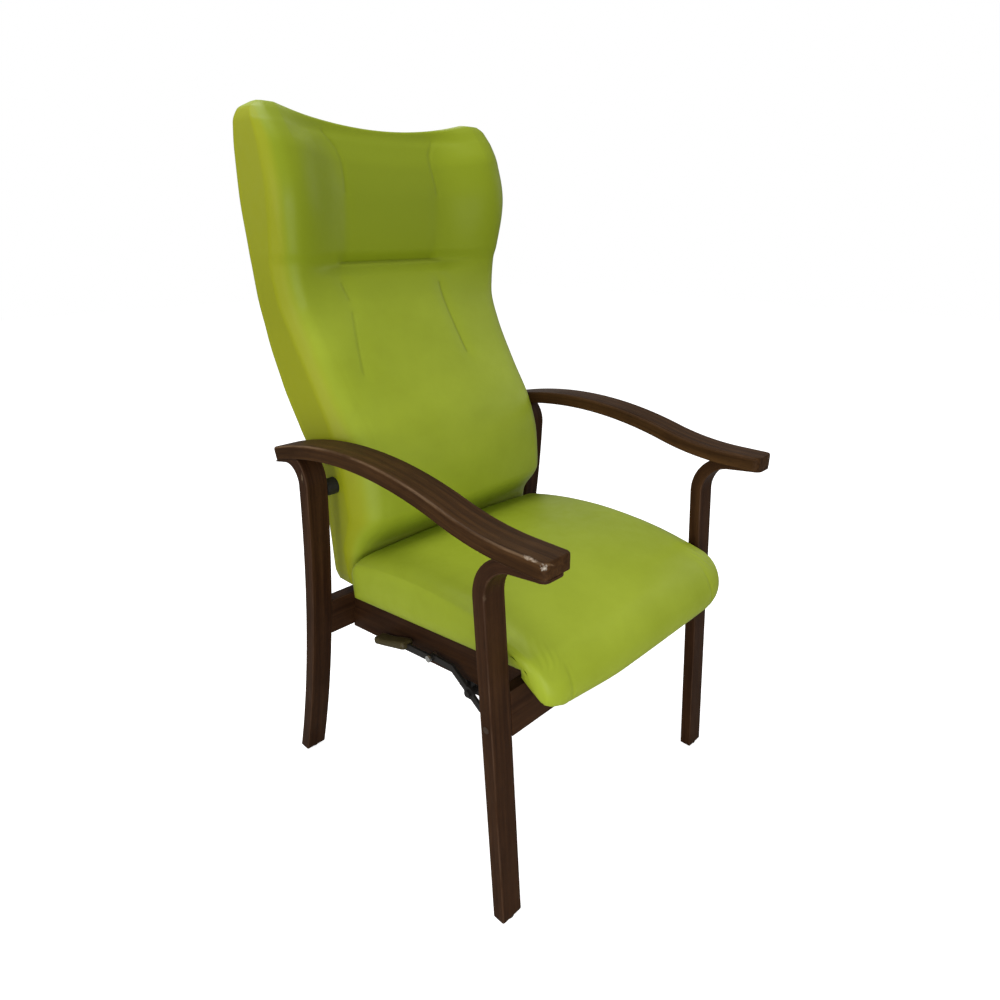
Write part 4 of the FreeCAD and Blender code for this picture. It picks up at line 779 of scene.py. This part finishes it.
normals = grid_normals(back_grid)
x, z = back_grid[..., 0], back_grid[..., 2]
is_front = (np.arange(columns) < FRONT_COLUMNS) * ease(z, 0.45, 0.5) * (normals[..., 1] < 0.2)
inside = ease(CREASE_HALF + CREASE_SHIFT - np.abs(x + CREASE_SHIFT), 0, 0.034)
above = z - CREASE_Z
fold = np.where(above >= 0, FOLD_IN * np.exp(-above / 0.018), -FOLD_OUT * np.exp(above / 0.035))
fold = fold * inside * is_front
PLEATS = [[(-0.122, 1.180), (-0.104, 1.154), (-0.101, 1.135), (-0.106, 1.086)],
          [(0.122, 1.180), (0.104, 1.154), (0.101, 1.135), (0.106, 1.086)]]
WALLS = [[(-0.106, 1.086), (-0.124, 0.972)], [(0.100, 1.086), (0.092, 0.972)]]
DARTS = [[(-0.142, 0.934), (-0.134, 0.908)], [(-0.135, 0.886), (-0.160, 0.790)],
         [(0.082, 0.925), (0.089, 0.800)]]


def groove(lines, width):
    """One on any of several broken lines of the front, falling away from them by a bell curve."""
    away = np.min([near_line(x, z, spots) for spots in lines], axis=0)
    return np.exp(-(away / width) ** 2) * is_front


pleat, wall, dart = groove(PLEATS, 0.0035), groove(WALLS, 0.012), groove(DARTS, 0.0026)
drawn = fold + 0.0013 * pleat + 0.0008 * wall + 0.0015 * dart + 0.002 * groove(DARTS, 0.016)
back_grid = back_grid + np.stack([0 * x, drawn, 0 * x], -1)
# Painted shadow: a thin dark line along the headrest crease, which joins the seams' darkening.
crease_shadow_line = np.exp(-(above / 0.004) ** 2) * inside * is_front
seam_and_crease_shadow = np.where(x < 0, 0.20, 0.10) * pleat + np.where(x < 0, 0.25, 0.50) * dart + 0.15 * crease_shadow_line
seam_and_crease_shadow = np.clip(seam_and_crease_shadow, 0, 1)
side = ease(np.abs(normals[..., 0]), 0.55, 0.95)
# Painted shade: the back's front is darkened in colour towards the top, from 0.86 m to 0.99 m.
painted_top_shade = ease(z, 0.86, 0.99) * ease(0.2 - normals[..., 1], 0, 0.6)

vinyl_grain, group_in, group_out = effect(
    "vinyl_grain", [("Vector", "Vector", None)],
    [("Leather", "Float"), ("Mottle", "Float"), ("Soil", "Float")])
cells = node(vinyl_grain, "ShaderNodeTexVoronoi", {"Vector": group_in.outputs["Vector"], "Scale": 620.0},
             feature="SMOOTH_F1")
mottle = noise(vinyl_grain, group_in.outputs["Vector"], 9.0, 4.0)
soil = noise(vinyl_grain, group_in.outputs["Vector"], 38.0, 6.0, 0.65)
vinyl_grain.links.new(cells.outputs["Distance"], group_out.inputs["Leather"])
vinyl_grain.links.new(ranged(vinyl_grain, mottle, 0.3, 0.7, 0, 1), group_out.inputs["Mottle"])
vinyl_grain.links.new(ranged(vinyl_grain, soil, 0.35, 0.7, 0, 1), group_out.inputs["Soil"])


def vinyl(name, deep, bright, flank, top_shade_colour):
    """Smooth upholstery vinyl: an uneven green, darker towards the top of the back's front as painted shade,
    yellower on the sides, darker in its seams and along the headrest crease as a painted shadow line, with a
    fine pressed grain."""
    made, tree, shader = finish(name)
    grain = use(tree, vinyl_grain, {"Vector": object_space(tree)})
    colour = mixed(tree, grain.outputs["Mottle"], deep, bright)
    colour = mixed(tree, ranged(tree, grain.outputs["Soil"], 0, 1, 0, 0.12), colour, darker(deep, 0.7))
    # Painted shade: the top of the back's front takes a darker colour here.
    colour = mixed(tree, marked(tree, "painted_top_shade"), colour, top_shade_colour)
    colour = mixed(tree, marked(tree, "side"), colour, flank)
    # Seams darken the colour; on the back this mark also holds a painted shadow line along the headrest
    # crease.
    colour = mixed(tree, ranged(tree, marked(tree, "seam_and_crease_shadow"), 0, 1, 0, 0.75), colour, darker(deep, 0.28))
    lumps = sums(tree, "ADD", ranged(tree, grain.outputs["Leather"], 0, 1, 0, 0.6),
                 ranged(tree, grain.outputs["Mottle"], 0, 1, 0, 1.0))
    dress(tree, shader, colour, ranged(tree, grain.outputs["Soil"], 0, 1, 0.36, 0.48), lumps, 0.18, 0.0006)
    shader.inputs["Specular IOR Level"].default_value = 0.20
    return made


# The last colour is painted shade for the top of the back's front.
green_vinyl = vinyl("green_vinyl", (0.288, 0.357, 0.021, 1), (0.330, 0.407, 0.029, 1),
                    (0.300, 0.325, 0.010, 1), (0.238, 0.300, 0.011, 1))
back_marks = {"seam_and_crease_shadow": seam_and_crease_shadow, "side": side, "painted_top_shade": painted_top_shade}
back_cushion = piece("back_pad", back_grid, [net(rows, columns)], back_marks)
fit_on(back_cushion, "back", "vinyl", green_vinyl, "back_cushion")

# Back's rear panel: a thin padded board covered in the same vinyl, tacked over the frame's opening, its
# edge hidden by a welt.
PANEL_HALF = 0.211
PANEL_LOW = 0.452
PANEL_HIGH = 1.147
PANEL_THICK = 0.012
PANEL_PROUD = 0.002
PANEL_EDGE = 0.005
PANEL_CORNER = 0.02
PANEL_END = (PANEL_CORNER, 0.004)
WELT_RADIUS = 0.003


def rear_line(x, z):
    """How far back the cushion's rear face lies: its section at height z, crowned across the panel."""
    section = smooth_line(z - PIVOT[1], BACK_SECTIONS[:, 0], BACK_SECTIONS[:, 2])
    return PIVOT[0] + section + BACK_REAR_CROWN * (1 - (x / PANEL_HALF) ** 2)


panel_z = np.linspace(PANEL_LOW, PANEL_HIGH, 60)
panel_y = rear_line(np.full(60, PANEL_HALF), panel_z) + PANEL_PROUD
outer = side_view(np.stack([panel_y, panel_z], -1), -PANEL_HALF)
points, faces = strip(outer - np.array([0, PANEL_THICK, 0]), outer, (1, 0, 0), 2 * PANEL_HALF, PANEL_EDGE,
                      PANEL_END, PANEL_END)[:2]
points[:, 1] += BACK_REAR_CROWN * (1 - (points[:, 0] / PANEL_HALF) ** 2)
rear_panel = piece("back_panel", points, faces)
fit_on(rear_panel, "back", "vinyl", green_vinyl, "back_rear_panel")


def tube(path, radius, around, sides=8):
    """A closed round cord: a circle of sides points square to the path, between its own direction's two
    side vectors, one of them as near as it can be to around."""
    ahead = np.roll(path, -1, 0) - np.roll(path, 1, 0)
    ahead = ahead / np.linalg.norm(ahead, axis=1, keepdims=True)
    out = around - ahead * np.einsum("ij,ij->i", np.broadcast_to(around, path.shape), ahead)[:, None]
    out = out / np.linalg.norm(out, axis=1, keepdims=True)
    across = np.cross(ahead, out)
    angle = np.linspace(0, 2 * math.pi, sides, endpoint=False)[None, :, None]
    rings = path[:, None] + radius * (np.cos(angle) * out[:, None] + np.sin(angle) * across[:, None])
    rows = len(rings)
    return rings.reshape(-1, 3), [net(rows + 1, sides) % (rows * sides)]


turns = np.radians(np.linspace(0, 90, 8))
corners = ((1, PANEL_HIGH - PANEL_CORNER, 0), (-1, PANEL_HIGH - PANEL_CORNER, math.pi / 2),
           (-1, PANEL_LOW + PANEL_CORNER, math.pi), (1, PANEL_LOW + PANEL_CORNER, 1.5 * math.pi))
outline = np.concatenate([
    np.stack([sign * (PANEL_HALF - PANEL_CORNER) + PANEL_CORNER * np.cos(turns + start),
              level + PANEL_CORNER * np.sin(turns + start)], -1) for sign, level, start in corners])
loop = np.concatenate([outline, outline[:1]])
walked = np.concatenate([[0], np.cumsum(np.linalg.norm(np.diff(loop, axis=0), axis=1))])
at = np.linspace(0, walked[-1], 420, endpoint=False)
welt_x, welt_z = np.interp(at, walked, loop[:, 0]), np.interp(at, walked, loop[:, 1])
welt_path = np.stack([welt_x, rear_line(welt_x, welt_z), welt_z], -1)
welt = piece("back_welt", *tube(welt_path, WELT_RADIUS, np.array([0, 1.0, 0.0])))
fit_on(welt, "back", "vinyl", green_vinyl)

# Seat cushion: a foam pad on the seat board under the same vinyl, crowned on top, rolled at the sides,
# its front drawn down over the board's edge into a lip with sewn corners.
SEAT_HALF = 0.248
SEAT_REAR = 0.1336
SEAT_LIP = -0.2800
SEAT_FRONT = -0.3330
SEAT_THICK = 0.078
SEAT_CROWN = 0.009
SEAT_LOW = -0.0742
LOW_NEAR = 0.0116
LOW_FAR = 0.0090
SEAT_CORNER = 0.022
NOSE_RISE = 0.024
SEAT_ROLL = 0.014
SEAT_BASE = 0.0015
ROLL_BACK = 0.36
ROLL_DROP = 0.0094
SHOULDER_BACK = 0.21
SHOULDER_RISE = 0.593
END_DROP = 0.008
END_SLANT = 0.85
SEAT_CAP = [(0.12, 0.0012), (0.3, 0.0028), (0.55, 0.004), (0.8, 0.0046), (1.0, 0.0048)]
share_x = np.sin(np.linspace(-math.pi / 2, math.pi / 2, 150))
share_x = 0.45 * share_x + 0.55 * np.linspace(-1, 1, 150)
rolled = np.clip((np.abs(share_x) - 0.84) / 0.16, 0, 1)
rolled = (1 - np.sqrt(np.maximum(1 - rolled ** 2, 0)))[:, None]
crowned = (1 - share_x ** 2)[:, None]
seat_x = share_x[:, None] * SEAT_HALF
top = SEAT_THICK - SEAT_ROLL * rolled + SEAT_CROWN * crowned
front = SEAT_FRONT + SEAT_ROLL * rolled - 0.003 * crowned
low = SEAT_LOW + 0.016 * rolled
low = low + LOW_NEAR * ease(-seat_x, 0.06, 0.24) + LOW_FAR * ease(seat_x, 0.19, SEAT_HALF)


def run(a, b, count):
    """Evenly spaced points between two points, for every section at once."""
    share = np.linspace(0, 1, count)[None, :, None]
    return a[:, None] * (1 - share) + b[:, None] * share


def tangent_arc(start, heading, end, count):
    """The circle that leaves start along heading and reaches end: its middle lies square to heading, at
    the chord squared over twice the chord's part that way. Also gives the heading at the end."""
    chord = end - start
    ahead = np.einsum("ij,ij->i", chord, heading)[:, None]
    square = chord - heading * ahead
    size = np.linalg.norm(square, axis=1, keepdims=True)
    square = square / size
    radius = np.einsum("ij,ij->i", chord, chord)[:, None] / (2 * size)
    swept = 2 * np.arctan2(size, ahead)
    angle = (swept * np.linspace(0, 1, count))[..., None]
    center = start + square * radius
    turned = np.sin(angle) * heading[:, None] - np.cos(angle) * square[:, None]
    return center[:, None] + radius[:, None] * turned, heading * np.cos(swept) + square * np.sin(swept)


def spots(along, square):
    """Points of every section, along the seat and square to it."""
    return np.concatenate([along + 0 * top, square + 0 * top], 1)


rear_low = spots(SEAT_REAR, SEAT_BASE)
rear_top = spots(SEAT_REAR, top - SEAT_CORNER)
corner_top = spots(SEAT_REAR - SEAT_CORNER, top)
roll = spots(front + ROLL_BACK * (SEAT_REAR - front), top - ROLL_DROP)
nose = spots(front, low + NOSE_RISE)
shoulder = spots(front + SHOULDER_BACK * (roll[:, :1] - front),
                 nose[:, 1:] + SHOULDER_RISE * (roll[:, 1:] - nose[:, 1:]))
lip_low = spots((front + SEAT_LIP) / 2, low)
lip = spots(SEAT_LIP, low + NOSE_RISE)
lip_top = spots(SEAT_LIP, SEAT_BASE)
upward = np.broadcast_to(np.array([0.0, 1.0]), rear_low.shape)
rear_corner = tangent_arc(rear_top, upward, corner_top, 14)[0]
rise = SEAT_CROWN / SEAT_THICK
heading = np.broadcast_to(np.array([-1.0, rise]) / math.hypot(1, rise), rear_low.shape)
parts = [run(rear_low, rear_top, 16)[:, :-1], rear_corner[:, :-1]]
at = corner_top
for target, count in ((roll, 80), (shoulder, 42), (nose, 34), (lip_low, 18), (lip, 18)):
    arc, heading = tangent_arc(at, heading, target, count)
    parts.append(arc[:, :-1])
    at = target
parts += [run(lip, lip_top, 12)[:, :-1], run(lip_top, rear_low, 70)[:, :-1]]
loops = np.concatenate(parts, 1)
slant = -END_DROP + END_SLANT * (loops[..., 0] - SEAT_LIP)
end_lift = 0.9 * ease(np.abs(seat_x), 0.205, 0.246) * (loops[..., 1] < 0.0014)
loops[..., 1] += end_lift * np.maximum(slant - loops[..., 1], 0)
chair = seat_to_chair(loops[..., 0], loops[..., 1])
seat_grid = np.concatenate([np.broadcast_to(seat_x[..., None], chair.shape[:2] + (1,)), chair], -1)


def toward(points, spine):
    """For each point, the nearest spot of a broken line."""
    best, target = np.full(points.shape[0], 9.0), np.zeros(points.shape)
    for a, b in zip(spine, spine[1:]):
        share = np.clip((points - a) @ (b - a) / ((b - a) @ (b - a)), 0, 1)[:, None]
        spot = a + (b - a) * share
        gap = np.linalg.norm(points - spot, axis=1)
        target = np.where((gap < best)[:, None], spot, target)
        best = np.minimum(best, gap)
    return target


spine_along = np.array([-0.301, -0.294, -0.270, 0.098])
spine_square = np.array([-0.010, 0.006, 0.022, 0.024])
end_rings = []
for row, sign in ((0, -1), (-1, 1)):
    spine = side_view(seat_to_chair(spine_along, spine_square), sign * SEAT_HALF)
    target = toward(seat_grid[row], spine)
    end_rings.append(caps(seat_grid[row], SEAT_CAP, target, (sign, 0, 0)))
seat_grid = np.concatenate([end_rings[0][::-1], seat_grid, end_rings[1]])
rows, columns = seat_grid.shape[:2]
square = (seat_grid[..., 2] - SEAT_Z) * math.cos(TILT) + seat_grid[..., 1] * math.sin(TILT)
along = seat_grid[..., 1] * math.cos(TILT) - (seat_grid[..., 2] - SEAT_Z) * math.sin(TILT)
held = ease(square, -0.03, 0.03) * np.maximum(ease(square, 0.004, 0.03), ease(-along, 0.285, 0.30))
held = held * ease(0.130 - along, 0, 0.02) * clear_of_ends(rows, len(SEAT_CAP), 10)
seat_grid = puff("seat_cushion", seat_grid, held, SWELL, DRAWN_IN)
SEAM_X = 0.200
PUCKER_X = 0.222
PUCKER_Z = 0.458
normals = grid_normals(seat_grid)
x, z = seat_grid[..., 0], seat_grid[..., 2]
on_front = ease(-normals[..., 1], 0.15, 0.5) * ease(0.462 - z, 0, 0.030)
corner_seam = np.exp(-((np.abs(x) - SEAM_X) / 0.0024) ** 2) * on_front
away = np.hypot((np.abs(x) - PUCKER_X) / 0.020, (z - PUCKER_Z) / 0.016)
pucker = np.sin((np.abs(x) * 0.75 + z) * 760 + 4 * np.sin(z * 130))
pucker = pucker * np.exp(-away ** 2) * ease(-normals[..., 1], 0.0, 0.4)
seat_grid = seat_grid - normals * (0.0011 * corner_seam - 0.0004 * pucker)[..., None]
seat_marks = {"seam_and_crease_shadow": 0.16 * corner_seam, "side": 0 * x}
seat_cushion = piece("seat_pad", seat_grid, [net(rows, columns)], seat_marks)
fit_on(seat_cushion, "seat", "vinyl", green_vinyl, "seat_cushion")

# Floor glides, pivot washers and glide strips: black moulded nylon, nailed or pressed in place. The plugs
# over the front legs' bolts are brown, to match the stain.
speckle, group_in, group_out = effect("speckle", [("Vector", "Vector", None), ("Size", "Float", 300.0)],
                                      [("Value", "Float")])
dots = noise(speckle, group_in.outputs["Vector"], group_in.outputs["Size"], 3.0)
speckle.links.new(ranged(speckle, dots, 0.35, 0.65, 0, 1), group_out.inputs["Value"])


def moulded(name, dark, light, rough_low, rough_high, metal=0.0, size=300.0, bump_size=0.0002):
    """A hard finish: two close colours and a roughness mixed by fine speckles, which also lift it."""
    made, tree, shader = finish(name)
    fine = use(tree, speckle, {"Vector": object_space(tree), "Size": size}).outputs["Value"]
    dress(tree, shader, mixed(tree, fine, dark, light), ranged(tree, fine, 0, 1, rough_low, rough_high),
          fine, 0.15, bump_size)
    shader.inputs["Metallic"].default_value = metal
    shader.inputs["Specular IOR Level"].default_value = 0.25
    return made


nylon = moulded("black_nylon", (0.012, 0.012, 0.012, 1), (0.026, 0.026, 0.026, 1), 0.42, 0.58)
refinish(nylon, "floor_glides", "pivot_washers", "rail_glide_strips")
plug = moulded("brown_plug", (0.03, 0.017, 0.01, 1), (0.05, 0.03, 0.018, 1), 0.35, 0.5)
refinish(plug, "bolt_caps")

# Steel fittings: bolts, pins, plates and the gas spring. Zinc plated or black painted, rod chromed.
zinc = moulded("zinc_plate", (0.52, 0.52, 0.50, 1), (0.68, 0.68, 0.66, 1), 0.22, 0.38, 1.0, 900.0)
painted = moulded("black_paint", (0.010, 0.009, 0.008, 1), (0.022, 0.020, 0.018, 1), 0.40, 0.55, 0.0, 500.0)
chrome = moulded("chrome_rod", (0.74, 0.75, 0.76, 1), (0.82, 0.82, 0.83, 1), 0.06, 0.14, 1.0, 700.0, 0.00005)
refinish(zinc, "leg_bolts", "barrel_nuts", "pivot_pins", "guide_screws", "drive_pins", "drive_spacers",
         "gas_clevis_pin", "lever_bolt", "release_pin")
refinish(painted, "left_slide_plate", "right_slide_plate", "left_pivot_boss", "right_pivot_boss", "cross_bar",
         "gas_cylinder", "gas_clevis", "release_head", "shaft_bearings", "release_shaft", "trip_finger",
         "lever_crank", "lever_arm")
refinish(chrome, "gas_rod")

# Release paddle: a moulded grip pressed on the lever's flat arm, olive brown, rounded all over.
grip = moulded("olive_grip", (0.040, 0.030, 0.010, 1), (0.064, 0.050, 0.018, 1), 0.34, 0.5, 0.0, 420.0)
LEVER_X = -0.233
PADDLE_WIDTH = 0.027
PADDLE_LENGTH = 0.092
PADDLE_THICK = 0.014
PADDLE_BEHIND = 0.026
PADDLE_SHIFT = 0.0025
DROOP = math.radians(16.0)
LEVER_PIVOT = np.array([-0.1460005, 0.321979])
paddle_mid = LEVER_PIVOT + np.array([0.176, 0.018])
paddle_ahead = np.array([math.cos(DROOP), -math.sin(DROOP)])
paddle_up = np.array([math.sin(DROOP), math.cos(DROOP)])
run_along = np.linspace(-PADDLE_BEHIND, PADDLE_LENGTH - PADDLE_BEHIND, 30)[:, None]
dish = 0.0022 * np.exp(-((run_along - 0.03) / 0.022) ** 2)
line = paddle_mid + run_along * paddle_ahead
inside = LEVER_X + PADDLE_SHIFT - PADDLE_WIDTH / 2
paddle = strip(side_view(line - paddle_up * PADDLE_THICK / 2, inside),
               side_view(line + paddle_up * (PADDLE_THICK / 2 - dish), inside),
               (1, 0, 0), PADDLE_WIDTH, 0.0055, (0.007, 0.005), (0.010, 0.006), 0.004)[:2]
fit_on(piece("release_paddle", *paddle), "release_lever", "grip_plastic", grip, "lever_paddle")

# Studio: a pale floor, soft lights and the camera at the photograph's viewpoint.
FLOOR_HALF = 9.0
FLOOR_Z = -0.0005
floor_points = np.array([[x * FLOOR_HALF, y * FLOOR_HALF, FLOOR_Z]
                         for x, y in ((-1, -1), (1, -1), (1, 1), (-1, 1))])
floor_mesh = bpy.data.meshes.new("floor")
floor_mesh.from_pydata(floor_points.tolist(), [], [(0, 1, 2, 3)])
floor = bpy.data.objects.new("floor", floor_mesh)
bpy.context.scene.collection.objects.link(floor)
pale, tree, shader = finish("pale_floor")
to_camera = node(tree, "ShaderNodeLightPath").outputs["Is Camera Ray"]
tone = mixed(tree, noise(tree, object_space(tree), 0.7, 2.0), (0.86, 0.86, 0.86, 1), (0.90, 0.90, 0.90, 1))
tree.links.new(mixed(tree, to_camera, (0.38, 0.38, 0.37, 1), tone), shader.inputs["Base Color"])
tree.links.new(ranged(tree, to_camera, 0, 1, 0.0, 0.8), shader.inputs["Emission Strength"])
shader.inputs["Roughness"].default_value = 0.85
shader.inputs["Specular IOR Level"].default_value = 0.0
shader.inputs["Emission Color"].default_value = (1, 1, 1, 1)
floor_mesh.materials.append(pale)

world = bpy.data.worlds.new("studio")
bpy.context.scene.world = world
world.use_nodes = True
sky = world.node_tree
backdrop = sky.nodes["Background"]
backdrop.inputs["Color"].default_value = (1.0, 1.0, 1.0, 1)
to_camera = node(sky, "ShaderNodeLightPath").outputs["Is Camera Ray"]
sky.links.new(ranged(sky, to_camera, 0, 1, 0.38, 1.0), backdrop.inputs["Strength"])


def softbox(name, spot, target, size, watts):
    """A square area light at spot, facing target."""
    light = bpy.data.lights.new(name, "AREA")
    light.shape = "SQUARE"
    light.size = size
    light.energy = watts
    lamp = bpy.data.objects.new(name, light)
    lamp.location = spot
    direction = Vector(target) - Vector(spot)
    lamp.rotation_euler = direction.to_track_quat("-Z", "Y").to_euler()
    bpy.context.scene.collection.objects.link(lamp)


softbox("light_over", (-0.5, 0.6, 2.8), (-0.1, -0.2, 0.4), 1.6, 37)
softbox("light_front", (-1.0, -1.55, 0.30), (0, -0.1, 0.42), 1.8, 33)
softbox("light_near", (-2.6, 0.1, 1.0), (0, 0, 0.55), 1.4, 17)
softbox("light_far", (2.8, -0.8, 1.6), (0, 0, 0.6), 1.6, 7)
softbox("light_behind", (1.8, 2.6, 2.4), (0, 0, 0.7), 1.6, 9)
bpy.context.scene.view_settings.view_transform = "Standard"

camera_data = bpy.data.cameras.new("camera")
camera_data.sensor_width = 36.0
camera_data.lens = 25.28
camera = bpy.data.objects.new("camera", camera_data)
camera.location = (-0.87368, -0.84408, 1.03208)
HEADING = math.radians(44.16)
PITCH = math.radians(21.41)
level = math.cos(PITCH)
view = Vector((level * math.cos(HEADING), level * math.sin(HEADING), -math.sin(PITCH)))
camera.rotation_euler = view.to_track_quat("-Z", "Y").to_euler()
bpy.context.scene.collection.objects.link(camera)
bpy.context.scene.camera = camera

bpy.context.view_layer.update()
